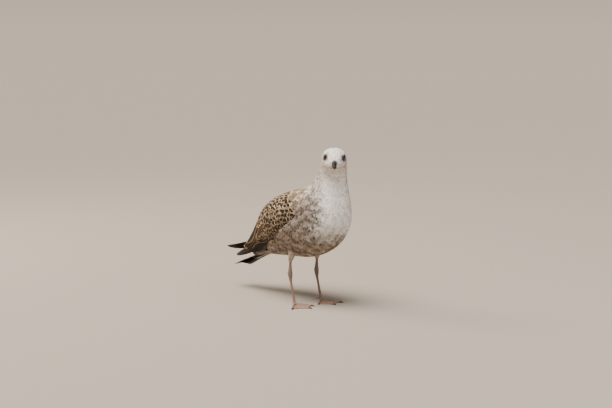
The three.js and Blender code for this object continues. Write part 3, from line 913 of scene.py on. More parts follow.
# The sheet of the body's plumage: the body's form, swollen where the wings lie on it, measured by probes
# along the body's normals to the wings' outer faces, and smoothed.
SWELL_END = (12.4, 13.4)  # over these rows of the body the swelling fades out again
PROBE_REACH = 32
probe_u, probe_v = crossed(np.linspace(0, 1, 141), np.linspace(0, 1, 121)[:-1])
probes = sample(body_sheet, probe_u, probe_v)
swell = np.zeros(probe_u.shape)
for name, side in SIDES.items():
    face = wing_sheets[name].grid[::2, ::2]
    quads = grid_faces(*face.shape[:2])
    tree = BVHTree.FromPolygons(face[..., :3].reshape(-1, 3).tolist(), quads.tolist())
    for i, j in np.argwhere(probes[..., 0] * side > -20):
        far = tree.ray_cast(probes[i, j, :3], probes[i, j, 9:], PROBE_REACH)[3]
        swell[i, j] = max(swell[i, j], 0 if far is None else far + OVER_WING)
for _ in range(2):
    swell = np.maximum(swell, np.maximum(np.roll(swell, 1, 1), np.roll(swell, -1, 1)))
    swell[1:] = np.maximum(swell[1:], swell[:-1])
swell = blurred(swell, 5) * (1 - smoothstep(*SWELL_END, probe_u * BODY_LAST))
swell = np.concatenate((swell, swell[:, :1]), 1)
swell_sheet = Sheet(swell[..., None], True, 1)
coat_offset = sample(swell_sheet, body_t / BODY_LAST, body_angle / (2 * np.pi))
coat_places = body_sheet.grid[..., :3] + body_sheet.grid[..., 9:] * coat_offset
for centre in eye_centres.values():  # over the eyes it is lifted to the lids
    away = coat_places - centre
    far = np.linalg.norm(away, axis=-1, keepdims=True)
    lifted = far + EYE_SOFTNESS * np.log1p(np.exp((EYE_COVER - far) / EYE_SOFTNESS))
    coat_places = centre + away * lifted / far
coat_sheet = sheet_of(coat_places, wrap=True)

# How far apart the feathers' roots are along the body rows, how long and how wide they are, in millimetres.
COAT_ROWS = (0, 0.7, 2, 3.3, 4.5, 6, 7.5, 10, 14)
COAT_SPACING = (1.1, 1.2, 1.4, 2.1, 3.0, 3.9, 4.6, 4.8, 4.8)
COAT_LENGTH = (4, 4.5, 5.5, 9, 13, 17, 20, 22, 22)
COAT_HALF = (0.62, 0.74, 1.0, 1.7, 3.0, 4.0, 4.8, 5.2, 5.2)
LID_REACH = 5.7  # no feather comes nearer to the line of sight than this

draw = np.random.default_rng(11)
root_u, root_v = rows_over(
    coat_sheet, lambda u: np.interp(u * BODY_LAST, COAT_ROWS, COAT_SPACING), 0.012, 0.975, draw
)
roots = sample(coat_sheet, root_u, root_v)
ahead, up, aside = -roots[..., 1], roots[..., 2], np.abs(roots[..., 0])
under_wing = (sample(swell_sheet, root_u, root_v)[..., 0] > 1.0) | ((up < 124) & (ahead < -84))
strip = (aside < STRIP_HALF) & (ahead < RUMP_START)
beside = (ahead < np.interp(up, EDGE_UP, EDGE_AHEAD)) & (up > WING_LOW) & under_wing
on_back = (aside > STRIP_HALF) & (aside < 40) & (ahead < MANTLE_END) & (ahead > -160) & (up > 150)
behind = (ahead < -150) & (up > WING_LOW)
at_tail = (ahead < -190) & (up > 89) & ~(strip & (up > WING_LOW)) | (ahead < -165) & (aside > 12) & (up > 93)
bare = (beside | on_back | behind) & ~strip | at_tail  # where the wings or the tail cover the skin
root_u, root_v, roots = root_u[~bare], root_v[~bare], roots[~bare]
root_t = root_u * BODY_LAST

# Contour feathers: loose barbs of keratin, matt with a faint silk along them. The barbs run out from the
# shaft to the tip's side; real ones are 0.4 mm apart and are drawn three times as coarse, so that they show.
BARB_SPACING = 1.2


def plumage_material(name, roughness, relief, streaks, gloss=0.25, spacing=BARB_SPACING):
    """A feather's material: its colours from the vanes, and barbs as lines of even distance from the shaft
    and the tip, which make the relief and faint streaks of tone."""
    tree, finish = new_material(name)
    barbs = add_node(tree, "UVMap", {"uv_map": "barbs"}).outputs["UV"]
    axes = add_node(tree, "SeparateXYZ", inputs={0: barbs}).outputs
    run = maths(tree, "SUBTRACT", axes["Y"], maths(tree, "ABSOLUTE", axes["X"]))
    wave = maths(tree, "SINE", maths(tree, "MULTIPLY", run, 2 * math.pi / spacing))
    uneven = add_node(tree, "TexNoise", inputs={"Vector": barbs, "Scale": 0.7, "Detail": 2.0}).outputs["Fac"]
    ridges = maths(tree, "MULTIPLY", wave, uneven)
    bump = bumped(tree, ridges, relief, 0.0004)
    colour = toned(tree, own_colour(tree), spread(tree, ridges, (1 - streaks, 1 + streaks), (-0.6, 0.6)))
    return finish({"Base Color": colour, "Roughness": roughness, "Normal": bump, "Specular IOR Level": gloss})


contour_plumage = plumage_material("contour_plumage", roughness=0.8, relief=0.35, streaks=0.05)
face_plumage = plumage_material(
    "face_plumage", roughness=0.85, relief=0.2, streaks=0.03, spacing=BARB_SPACING / 2
)

SOFT_MARK = 0.42  # how much of a mark's strength tints the whole feather


def contour_colours(t, angle, places, plan, draw):
    """Colours of contour feathers: streaks along the shaft on the head and neck, spots near the tip on the
    breast, bars on the flanks and stern, each as strong as its place tells and as chance has it."""
    x, y = vane_places(plan)
    ground, mark, strength = plumage(t, angle, places)
    streak = np.exp(-((x / 0.5) ** 2)) * smoothstep(0.3, 0.8, y)
    spot = np.exp(-((x / 0.8) ** 4)) * smoothstep(0.6, 0.75, y) * (1 - 0.8 * smoothstep(0.93, 1.0, y))
    bar = smoothstep(0.7, 0.76, y) * (1 - 0.95 * smoothstep(0.86, 0.93, y))
    streaked = (1 - smoothstep(4.5, 6, t))[:, None]
    barred = smoothstep(8, 10, t)[:, None]
    shape = streak * streaked + (1 - streaked) * (spot * (1 - barred) + bar * barred)
    chance = strength * (0.2 + 1.1 * gathered(t, angle, places)) * draw.uniform(0.6, 1.35, len(t))
    tone = draw.normal(1, 0.03, len(t))[:, None, None]
    share = (SOFT_MARK + (1 - SOFT_MARK) * shape) * np.clip(chance, 0, 0.95)[:, None]
    colours = mix(ground[:, None], mark[:, None], share)
    # Painted shade: each vane is darker towards its root, where the feathers above cover it.
    return colours * tone * (0.86 + 0.14 * smoothstep(0.3, 0.9, y))[:, None]


small_plan = vane_plan(5, 4, widest=0.5)
large_plan = vane_plan(7, 8, widest=0.62)
coat_parts = {
    "plumage_face": (0, 2),
    "plumage_head": (2, 3.3),
    "plumage_neck": (3.3, 4.9),
    "plumage_collar": (4.9, 6.2),
    "plumage_breast": (6.2, 7.5),
    "plumage_flanks": (7.5, 9),
    "plumage_belly": (9, 14),
}
for name, (first, last) in coat_parts.items():
    own = (root_t >= first) & (root_t < last)
    u, v, t = root_u[own], root_v[own], root_t[own]
    soft = last < HEAD_END[1] + 0.1  # the head's feathers are small and soft
    plan = small_plan if soft else large_plan
    length = np.interp(t, COAT_ROWS, COAT_LENGTH) * draw.uniform(0.85, 1.15, len(t))
    half = np.interp(t, COAT_ROWS, COAT_HALF) * draw.uniform(0.88, 1.12, len(t))
    sink = np.interp(t, DEPTH_ROWS, DEPTHS) * 0.9
    tilt = draw.normal(0, 0.14, len(t))
    rise = draw.normal(0.0, 0.12, len(t)) * np.interp(t, (0, 4), (0.4, 1))
    fray = 0.05 if soft else 0.09
    points, normals = lay_vanes(
        coat_sheet, plan, u, v, length, half, tilt, sink, rise, fray=fray, thick=0.15, seed=5
    )
    middles = points[:, len(plan.x) * (len(plan.y) - 2) + len(plan.x) // 2]
    keep = np.ones(len(u), bool)
    for eye, centre in eye_centres.items():
        for place in (points[:, len(plan.x) // 2], middles, points[:, len(plan.x) * len(plan.y) - 1]):
            beside = place - centre
            line = beside @ eye_axes[eye]
            off = np.linalg.norm(beside - line[:, None] * eye_axes[eye], axis=-1)
            keep &= (off >= LID_REACH) | (line <= 0)
    colours = contour_colours(t, v * 2 * np.pi, middles, plan, draw)
    each = (value[keep] for value in (points, normals, colours, u, v, length, half))
    piece = feather_piece(name, [(coat_sheet, plan, *each)], face_plumage if soft else contour_plumage)

# ---- Scapulars and wing coverts ----
# The shoulder feathers and the rows of feathers that cover the wing's quills: broad, firm vanes, dark brown
# with pale notched edges, each row lying over the next. They root in the wing's skin and lie on its outer
# face.

WING_DARK = linear("#1b130e")
WING_MID = linear("#37291e")
FRINGES = (linear("#cebba0"), linear("#96704b"))  # pale at the tip, buff along the edge


def wing_place(ahead, down):
    """The u and v on a wing's sheet of a place so far ahead and so far down its face."""
    t = np.interp(-ahead, -WING_ROWS[:, 0], np.arange(WING_LAST + 1.0))
    return t / WING_LAST, (down - WING_DOWN[0]) / np.ptp(WING_DOWN)


def widths_of(plan):
    """A plan's width at each of a vane's points."""
    return np.concatenate((np.repeat(plan.width, len(plan.x)), plan.width))


def chequered(
    plan, length, half, draw, fringe, notch, period, bars, dark=WING_DARK, mid=WING_MID, fringes=FRINGES
):
    """Colours of brown feathers: dark round the shaft and before the tip and paler at the root, with a pale
    fringe that bites into the dark in notches a period apart, and bars across the webs in step with them."""
    x, y = vane_places(plan)
    edge = half[:, None] * widths_of(plan) * (1 - np.abs(x))
    tip = length[:, None] * (1 - y)
    phase = draw.uniform(0, 2 * np.pi, (len(half), 1)) + np.sign(x) * draw.uniform(0, 1.4, (len(half), 1))
    wave = 0.5 + 0.5 * np.cos(2 * np.pi * tip / period + phase)
    reach = (fringe + notch * wave**2) * draw.uniform(0.7, 1.3, (len(half), 1))
    pale = 1 - smoothstep(reach - 0.3, reach + 0.9, np.minimum(edge, tip))
    bar = bars * smoothstep(0.5, 0.9, wave) * smoothstep(0.1, 0.35, np.abs(x))
    centre = mix(dark, mid, smoothstep(5, 16, tip) * 0.75 + 0.12)
    fringe_colour = mix(*fringes, smoothstep(2, 14, tip) * 0.8)
    colours = mix(centre, fringe_colour, np.clip(pale + bar, 0, 0.95))
    return colours * draw.normal(1, 0.17, len(half))[:, None, None]


# Firm contour feathers: closed keratin webs with a dull silk, whose barbs show as fine slanting lines.
wing_plumage = plumage_material("wing_plumage", roughness=0.62, relief=0.5, streaks=0.08, gloss=0.12)
firm_plan = vane_plan(11, 14, root_width=0.35, widest=0.62, tip_width=0.3)
greater_plan = vane_plan(11, 30, root_width=0.45, widest=0.62, tip_width=0.3)


def feather_rows(lines, draw):
    """Roots in lines along the wing: each line is [down, first ahead, last ahead, spacing, length at its
    first and last root, half width at them, tilt in degrees, depth]. Every second line is shifted by half a
    spacing."""
    batches = []
    for k, (down, first, last, gap, length_a, length_b, half_a, half_b, tilt, depth) in enumerate(lines):
        ahead = np.arange(first - gap / 2 * (k % 2), last, -gap)
        share = (first - ahead) / (first - last)
        ahead = ahead + draw.uniform(-0.22, 0.22, len(ahead)) * gap
        length = (length_a + (length_b - length_a) * share) * draw.uniform(0.93, 1.07, len(ahead))
        half = (half_a + (half_b - half_a) * share) * draw.uniform(0.93, 1.07, len(ahead))
        angle = np.radians(tilt + draw.normal(0, 3, len(ahead)))
        downs = down + draw.uniform(-0.02, 0.02, len(ahead))
        batches.append(np.stack((ahead, downs, length, half, angle, ahead * 0 + depth), -1))
    return np.concatenate(batches)


WING_RISE = 0.4  # a tip's height over the wing's form, in millimetres
WING_SINK = 1.6  # a root's depth under the tip
WING_TWIST = 0.05
WING_FRAY = 0.012


def wing_batch(name, feathers, plan, pattern, draw, cup=0.1):
    """A batch of vanes on a wing's sheet from rows of [ahead, down, length, half width, tilt, depth], with
    the chequered colours of a pattern: its fringe, notch, period, bars and, if it has its own, its
    colours."""
    ahead, down, length, half, tilt, depth = feathers.T
    u, v = wing_place(ahead, down)
    lift = WING_RISE - depth + draw.normal(0, 0.12, len(u))
    shape = {"cup": cup, "twist": WING_TWIST, "fray": WING_FRAY, "seed": 7 + (name == "left")}
    sheet = wing_sheets[name]
    points, normals = lay_vanes(sheet, plan, u, v, length, half, tilt, WING_SINK - lift, lift, **shape)
    # The feathers darker towards the wing's lower edge, and in broad patches.
    dusk = 1 - 0.4 * smoothstep(0.55, 0.9, down)
    dusk = dusk - 0.1 * ripple(np.stack((ahead, down * 60, 0 * down), -1), 38)
    colours = chequered(plan, length, half, draw, *pattern) * dusk[:, None, None]
    return sheet, plan, points, normals, colours, u, v, length, half


# Lines of roots, from the back's edge down: [down, first ahead, last ahead, spacing, lengths, half widths,
# tilt, depth under the wing's form].
SCAPULAR_LINES = (
    [-0.10, 4, -112, 10.5, 24, 42, 6.5, 9.5, 2, 0.4],
    [-0.02, 14, -112, 10.5, 24, 42, 6.5, 9.5, 2, 0.0],
    [0.06, 26, -116, 10.5, 24, 44, 6.5, 10, 2, 0.0],
    [0.14, 30, -118, 10.5, 24, 45, 7, 10, 2, 0.1],
    [0.22, 32, -118, 10.5, 24, 45, 7, 10, 3, 0.2],
    [0.30, 34, -112, 10.5, 24, 44, 7, 10, 4, 0.3],
    [0.38, 36, -100, 10.5, 24, 40, 7, 9.5, 6, 0.4],
    [0.46, 38, -86, 10.5, 22, 34, 6.5, 8.5, 8, 0.5],
)
COVERT_LINES = (
    [0.50, 36, -80, 9.5, 18, 25, 6, 7, 14, 0.9],
    [0.58, 36, -86, 9.5, 18, 26, 6, 7.4, 16, 1.0],
    [0.66, 36, -72, 9.5, 17, 24, 6, 7, 16, 1.1],
    [0.74, 35, -44, 9.5, 17, 22, 5.8, 6.6, 15, 1.2],
    [0.81, 30, -12, 9, 16, 20, 5.4, 6.2, 12, 1.3],
)
GREATER_LINES = (
    [0.55, 8, -116, 9.0, 26, 32, 7.5, 8, 20, 1.5],
    [0.68, 14, -128, 7.0, 40, 54, 6.4, 7.4, 20, 2.2],
    [0.78, 14, -130, 7.0, 40, 52, 6.4, 7.4, 14, 2.6],
    [0.88, 4, -128, 7.0, 40, 50, 6.4, 7.4, 6, 3.0],
)
WING_PATCH = 0.028  # larger than a small feather's, since each of these has a pattern of its own

# Each pattern: width of the fringe, depth of its notches, their period, strength of the bars.
SCAPULAR_PATTERN = (1.2, 1.2, 9.0, 0.05)
COVERT_PATTERN = (1.0, 1.2, 7.0, 0.25)
GREATER_PATTERN = (0.8, 1.6, 8.5, 0.85)

for name in SIDES:
    draw = np.random.default_rng(21 + (name == "left"))
    scapulars = wing_batch(name, feather_rows(SCAPULAR_LINES, draw), firm_plan, SCAPULAR_PATTERN, draw)
    small = wing_batch(name, feather_rows(COVERT_LINES, draw), firm_plan, COVERT_PATTERN, draw)
    large = wing_batch(name, feather_rows(GREATER_LINES, draw), greater_plan, GREATER_PATTERN, draw)
    for kind, batches in (("scapulars", [scapulars]), ("wing_coverts", [small, large])):
        piece = feather_piece(f"{kind}_{name}", batches, wing_plumage, WING_PATCH)

# ---- Tertials and secondaries ----
# The long inner quills that close over the wing's rear, each tucked under the one above it, and the dark
# tips of the secondaries below them. Stiff webs on a strong shaft, blackish with a pale notched edge.

QUILL_DARK = linear("#17120e")
QUILL_MID = linear("#2e251d")
QUILL_EDGES = (linear("#a8937a"), linear("#6b5947"))
TERTIAL_PATTERN = (1.3, 1.6, 9.0, 0.0, QUILL_DARK, QUILL_MID)
SECONDARY_PATTERN = (0.3, 0.3, 9.0, 0.0, QUILL_DARK, QUILL_DARK, QUILL_EDGES)

TERTIAL_PATCH = 0.06

# Each quill: [root ahead, root down, length, half width, tilt in degrees, depth under the wing's form].
TERTIALS = (
    [-104, -0.03, 74, 11, 0, 0.3],
    [-108, 0.10, 88, 12, 0, 0.6],
    [-112, 0.22, 98, 12.5, 0, 1.0],
    [-116, 0.35, 110, 13, 0, 1.4],
    [-120, 0.49, 120, 13, 0, 1.8],
    [-122, 0.64, 130, 12, 0, 2.2],
    [-124, 0.79, 112, 11, 0, 2.6],
)
# Each secondary: [root ahead, root up, length, half width, tilt in degrees].
SECONDARIES = (
    [-90, 134, 84, 8, 2],
    [-97, 128, 86, 8, 1],
    [-104, 123, 88, 8, 0],
    [-111, 119, 90, 8, -1],
    [-119, 115, 90, 8, -2],
    [-128, 111, 88, 8, -3],
    [-138, 107, 84, 8, -4],
)

SECONDARY_TOP = 1.2  # how high the first one lies over the coat, and how much lower each next one
SECONDARY_STEP = 0.35

# Quill feathers: hard, close keratin webs with a dull gloss, their barbs drawn as fine slanting lines.
quill_plumage = plumage_material("quill_plumage", roughness=0.6, relief=0.45, streaks=0.07, gloss=0.1)
quill_plan = vane_plan(13, 26, root_width=0.5, widest=0.55, tip_width=0.3)

FAR_OFF = 1000  # keeps the bird's other side out of the choice of the nearest place


def coat_place(side, ahead, up):
    """The u and v on the body's sheet that are nearest to places so far ahead and up on one side."""
    grid = coat_sheet.grid[::3, ::3, :3]
    x, y, z = np.moveaxis(grid.reshape(-1, 3), -1, 0)
    off = np.abs(y + ahead[:, None]) + np.abs(z - up[:, None]) + FAR_OFF * (x * side < 0)
    row, col = np.divmod(np.argmin(off, axis=1), grid.shape[1])
    return row * 3 / (coat_sheet.grid.shape[0] - 1), col * 3 / (coat_sheet.grid.shape[1] - 1)


def quill_rows(rows):
    """Rows of a quill table with the tilt in radians."""
    table = np.array(rows, float)
    table[:, 4] = np.radians(table[:, 4])
    return table


for name in SIDES:
    draw = np.random.default_rng(31 + (name == "left"))
    top = wing_batch(name, quill_rows(TERTIALS), quill_plan, TERTIAL_PATTERN, draw, cup=0.12)
    secondaries = quill_rows(SECONDARIES)
    u, v = coat_place(SIDES[name], secondaries[:, 0], secondaries[:, 1])
    length, half = secondaries[:, 2], secondaries[:, 3]
    rise = SECONDARY_TOP - SECONDARY_STEP * np.arange(len(u))
    tilt = -SIDES[name] * secondaries[:, 4]
    points, normals = lay_vanes(
        coat_sheet, quill_plan, u, v, length, half, tilt, -rise, rise, cup=0.08, fray=0.004
    )
    colours = chequered(quill_plan, length, half, draw, *SECONDARY_PATTERN)
    below = (coat_sheet, quill_plan, points, normals, colours, u, v, length, half)
    piece = feather_piece(f"tertials_{name}", [top, below], quill_plumage, TERTIAL_PATCH)

# ---- Primaries ----
# The closed hand of each wing: six long pointed quills laid on each other like a fan, the outermost longest
# and lowest. The left wing's tip crosses over the right wing's.

# Per row of a closed hand: ahead, its top edge [side, up] and its bottom edge [side, up].
PRIMARY_ROWS = {
    "left": np.array([
        [-150, 24, 136, 32, 112],
        [-172, 18, 133, 30, 108],
        [-215, 4, 123, 22, 101],
        [-262, -8, 111, 4, 94],
        [-296, -13, 103, -8, 94],
        [-312, -14, 100, -12, 97],
    ]),
    "right": np.array([
        [-150, -24, 130, -33, 106],
        [-172, -19, 123, -31, 97],
        [-215, -7, 109, -23, 86],
        [-262, 5, 95, -9, 77],
        [-296, 14, 83, 7, 72],
        [-312, 16, 78, 14, 72],
    ]),
}
PRIMARY_TIPS = (-307, -302, -291, -276, -258, -240)  # ahead, from the outermost inwards
PRIMARY_DOWNS = (0.62, 0.56, 0.5, 0.44, 0.38, 0.32)  # their place from the top edge to the bottom edge
HAND_DOWN = (-0.5, 1.5)  # the hand's sheet reaches past its two edges
PRIMARY_HALF = 8.5
PRIMARY_ROOT = -158
PRIMARY_SLOPE = 1.03  # the length of a quill over its length ahead
PRIMARY_SUNK = 1.0  # how deep the outermost lies under the hand's form, and how much higher each next one
PRIMARY_STEP = 0.45
PRIMARY_FRINGE = linear("#8d7a66")
PRIMARY_PATCH = 0.13
primary_plan = vane_plan(9, 26, root_width=0.8, widest=0.45, tip_width=0.04)

for name, side in SIDES.items():
    draw = np.random.default_rng(41 + (name == "left"))
    rows = PRIMARY_ROWS[name]
    hand_t, hand_down = crossed(np.linspace(0, len(rows) - 1, 120), np.linspace(*HAND_DOWN, 41))
    ahead, top_x, top_z, low_x, low_z = np.moveaxis(row_at(rows, hand_t), -1, 0)
    hand_x = top_x + (low_x - top_x) * hand_down
    hand_z = top_z + (low_z - top_z) * hand_down
    hand = sheet_of(np.stack((hand_x, -ahead, hand_z), -1), outward=side)
    tips = np.array(PRIMARY_TIPS)
    v = (np.array(PRIMARY_DOWNS) - HAND_DOWN[0]) / np.ptp(HAND_DOWN)
    u = np.interp(-PRIMARY_ROOT, -rows[:, 0], np.linspace(0, 1, len(rows))) + 0 * v
    length = (PRIMARY_ROOT - tips) * PRIMARY_SLOPE
    half = np.full(len(tips), PRIMARY_HALF)
    height = PRIMARY_STEP * np.arange(len(tips)) - PRIMARY_SUNK
    points, normals = lay_vanes(
        hand, primary_plan, u, v, length, half, 0.0, -height, height, cup=0.1, thick=0.5, fray=0.002
    )
    x, y = vane_places(primary_plan)
    edge = PRIMARY_HALF * widths_of(primary_plan) * (1 - np.abs(x))
    tip = length[:, None] * (1 - y)
    fringe = (1 - smoothstep(0.3, 1.3, np.minimum(edge, tip * 0.6))) * smoothstep(40, 5, tip)
    colours = mix(QUILL_DARK, QUILL_MID, smoothstep(30, 0, tip) * 0.8)
    colours = mix(colours, PRIMARY_FRINGE, fringe * 0.8)
    cell_v = (np.arange(len(tips)) + 0.5) / len(tips)
    batch = (hand, primary_plan, points, normals, colours, 0.5 + 0 * v, cell_v, length, half)
    piece = feather_piece(f"primaries_{name}", [batch], quill_plumage, PRIMARY_PATCH)
    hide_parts(f"wing_{name}_primaries")

# ---- Tail ----
# Twelve quills closed to a narrow, slightly arched fan, the middle pair on top: white with brown bars at the
# root, a broad blackish band, and a worn white edge at the tips.

# Per row: ahead, up, half width.
TAIL_ROWS = np.array([
    [-158, 98, 17],
    [-196, 85, 21],
    [-228, 73, 25],
    [-248, 64.5, 26],
    [-262, 58.5, 26],
])
TAIL_ARCH = 4
TAIL_ROLL = 0.1  # its left side hangs lower
TAIL_LENGTH = 114
TAIL_GRADING = 0.6  # how much shorter each next quill is
TAIL_TOP = 1.6  # how high the middle pair lies, how much lower each next quill, and the right one of a pair
TAIL_STEP = 0.4
TAIL_SIDE_STEP = 0.15
TAIL_BAND = 54  # how wide the dark band is
TAIL_BAR = 12  # from one bar to the next
TAIL_HALF = 8.5
TAIL_REACH = 1.4  # the sheet that its quills lie on is so many times as wide as it
TAIL_WHITE = linear("#e2dcd2")
TAIL_PATCH = 0.15
tail_t, tail_across = crossed(
    np.linspace(0, len(TAIL_ROWS) - 1, 90), np.linspace(-TAIL_REACH, TAIL_REACH, 57)
)
ahead, up, half_width = np.moveaxis(row_at(TAIL_ROWS, tail_t), -1, 0)
up = up - TAIL_ARCH * tail_across**2 * half_width / 27 - TAIL_ROLL * tail_across * half_width
tail_points = np.stack((tail_across * half_width, -ahead, up), -1)
tail_sheet = sheet_of(tail_points)
draw = np.random.default_rng(51)
rank = np.tile(np.arange(6), 2)
across = np.repeat((1, -1), 6) * (rank + 0.45) / 6 * 0.66
v = (across + TAIL_REACH) / (2 * TAIL_REACH)
u = np.full(12, 0.03)
length = TAIL_LENGTH - rank * TAIL_GRADING
half = np.full(12, TAIL_HALF)
height = TAIL_TOP - TAIL_STEP * rank - TAIL_SIDE_STEP * (across < 0)
tail_plan = vane_plan(11, 30, root_width=0.7, widest=0.88, tip_width=0.7)
shape = {"cup": 0.05, "thick": 0.5, "fray": 0.004}
points, normals = lay_vanes(
    tail_sheet, tail_plan, u, v, length, half, across * 0.02, -height, height, **shape
)
x, y = vane_places(tail_plan)
tip = length[:, None] * (1 - y)
speckle = ripple(np.stack((x * half[:, None] * 3 + rank[:, None] * 9, tip * 1.4, tip * 0.7), -1), 14)
band = 1 - smoothstep(TAIL_BAND - 5, TAIL_BAND + 5, tip + speckle * 5 + rank[:, None] * 1.2)
bars = smoothstep(0.1, 0.5, np.sin(tip / TAIL_BAR * 2 * np.pi + speckle * 2))
bars = bars * (1 - band) * smoothstep(1, 0, np.abs(x) * 0.4)
outer = smoothstep(0.2, 0.6, x * np.sign(across)[:, None]) * (rank == 5)[:, None]
colours = mix(TAIL_WHITE, QUILL_MID, np.clip(0.3 + bars * 0.7, 0, 1))
colours = mix(colours, QUILL_DARK, band * (1 - 0.15 * outer))
colours = mix(colours, TAIL_WHITE, 0.3 * (1 - smoothstep(0.5, 1.4, tip)))
cell_u, cell_v = 0.25 + 0.5 * (across < 0), (rank + 0.5) / 6
batch = (tail_sheet, tail_plan, points, normals, colours, cell_u, cell_v, length, half)
piece = feather_piece("tail_feathers", [batch], quill_plumage, TAIL_PATCH)
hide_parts("tail")

# ---- Trousers ----
# The feathered thighs: short, soft feathers that grow on the flesh of the thigh, point down the leg and end
# above the hock, where the bare leg comes out of them.

TROUSER_SPACING = 2.4
TROUSER_LENGTH = 9
TROUSER_HALF = 1.5

for name, side in SIDES.items():
    draw = np.random.default_rng(61)
    limb_t, limb_angle = crossed(np.linspace(0, len(THIGH_ROWS) - 1, 60), np.linspace(0, 2 * np.pi, 73))
    limb = sheet_of(thigh_point(side, limb_t, limb_angle), wrap=True, outward=-side)
    u, v = rows_over(limb, lambda u: TROUSER_SPACING, 0.05, 0.93, draw)
    length = TROUSER_LENGTH * draw.uniform(0.8, 1.2, len(u))
    half = TROUSER_HALF * draw.uniform(0.85, 1.15, len(u))
    tilt = draw.normal(0, 0.2, len(u))
    rise = draw.normal(0.1, 0.35, len(u))
    points, normals = lay_vanes(
        limb, small_plan, u, v, length, half, tilt, THIGH_INSET, rise, fray=0.06, thick=0.15
    )
    ground = mix(CREAM, PALE_GREY, 0.6 + 0.3 * ripple(points[:, 0], 12))
    shaded = 0.7 + 0.3 * smoothstep(0.3, 0.9, vane_places(small_plan)[1])[:, None]
    colours = ground[:, None] * draw.normal(1, 0.1, len(u))[:, None, None] * shaded
    batch = (limb, small_plan, points, normals, colours, u, v, length, half)
    piece = feather_piece(f"trousers_{name}", [batch], contour_plumage)

# ---- Eyes ----
# Balls set in the skull, of which the lids leave only the front bare: a black pupil in a dark brown iris,
# behind a clear cornea that stands out a little.

PUPIL_SPREAD = math.radians(19)  # how far from the line of sight the pupil and the iris reach
IRIS_SPREAD = math.radians(36)
CORNEA_RISE = 0.35
PUPIL_BLACK = linear("#040303")
IRIS_BROWN = linear("#1a0f09")
EYE_RIM = linear("#120c09")

# Living eye: wet tear film over a clear cornea, so it gives sharp small highlights over a deep dark brown.
cornea, finish_cornea = new_material("wet_cornea")
cornea_finish = {"Roughness": 0.08, "IOR": 1.376, "Coat Weight": 0.6, "Coat Roughness": 0.02}
wet_cornea = finish_cornea({"Base Color": own_colour(cornea), **cornea_finish})

for name in SIDES:
    polar, round_angle = crossed(np.linspace(0.02, 3.0, 90), angles_round(73))
    bulge = CORNEA_RISE * (1 - smoothstep(0, IRIS_SPREAD + 0.1, polar))
    ball = around_eye(name, polar, round_angle, EYE_RADIUS + bulge)
    points, faces = closed_rings(ball if name == "right" else ball[:, ::-1])
    streaks = 0.5 + 0.5 * np.sin(round_angle * 31 + 2 * np.sin(round_angle * 7)) * np.sin(polar * 60)
    iris = mix(IRIS_BROWN * 0.55, IRIS_BROWN * 1.25, streaks)
    colours = mix(PUPIL_BLACK, iris, smoothstep(PUPIL_SPREAD - 0.02, PUPIL_SPREAD + 0.02, polar))
    colours = mix(colours, EYE_RIM, smoothstep(IRIS_SPREAD - 0.07, IRIS_SPREAD + 0.02, polar))
    colours = with_ends(colours if name == "right" else colours[:, ::-1])
    piece = add_mesh(f"eyeball_{name}", points, faces, colours)
    piece.data.materials.append(wet_cornea)
    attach(piece, "root")
    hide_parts(f"eye_{name}")

# ---- Bill ----
# Two horn sheaths over the jaws: the upper one high and hooked, with a ridge along its top, slit nostrils in
# a shallow groove and cutting edges that close over the lower one. Blackish, with a pinkish tinge at the
# gape.

# Per row: ahead, top, bottom, half width.
UPPER_BILL_ROWS = np.array([
    [118, 332, 325.5, 4.2],
    [124, 334, 323, 6],
    [141, 333.8, 323.8, 5.2],
    [157, 333.2, 324.4, 4.5],
    [169, 331.4, 324.6, 3.6],
    [177, 327.6, 322.2, 2.4],
    [180, 323.6, 321.4, 0.9],
    [180.3, 322.2, 321.8, 0.3],
])
LOWER_BILL_ROWS = np.array([
    [116, 323.5, 317, 4],
    [122, 325.2, 316.2, 5.2],
    [140, 325.2, 317.2, 4.4],
    [157, 325.6, 317, 3.6],
    [165, 325.4, 318, 3],
    [173, 324, 321.2, 1.6],
    [175.3, 323.3, 322.4, 0.6],
])
BILL_BLACK = linear("#0c0b0d")
BILL_BASE = linear("#4e3a33")
BILL_TIP = linear("#171515")
NOSTRIL = (149, 328.8)  # ahead, up
NOSTRIL_LONG = 3.4
NOSTRIL_HIGH = 0.55
NOSTRIL_DEEP = 1.0
GROOVE = ((144, 0.2), (11, 1.6))  # ahead and over the nostril's line, and how far it spreads
GROOVE_DEEP = 0.35
LIP_OUT = 0.22
BASE_FADE = (121, 138)  # ahead, where the colour of the base gives way to the bill's, and that to the tip's
TIP_FADE = (168, 179)


def mandible(rows, t, angle, top_power, low_power):
    """A ring at row t of a mandible: half the height times the cosine, and the half width times the sine to a
    power, which is above 1 where the cut narrows to a ridge and below 1 where it is boxy."""
    ahead, top, low, half = np.moveaxis(row_at(rows, t), -1, 0)
    c, s = np.cos(angle), np.sin(angle)
    power = np.where(c > 0, top_power, low_power)
    x = np.sign(s) * np.abs(s) ** power * half
    z = (top + low) / 2 + np.sign(c) * np.abs(c) ** 0.92 * (top - low) / 2
    return np.stack((x, -ahead, z), -1)


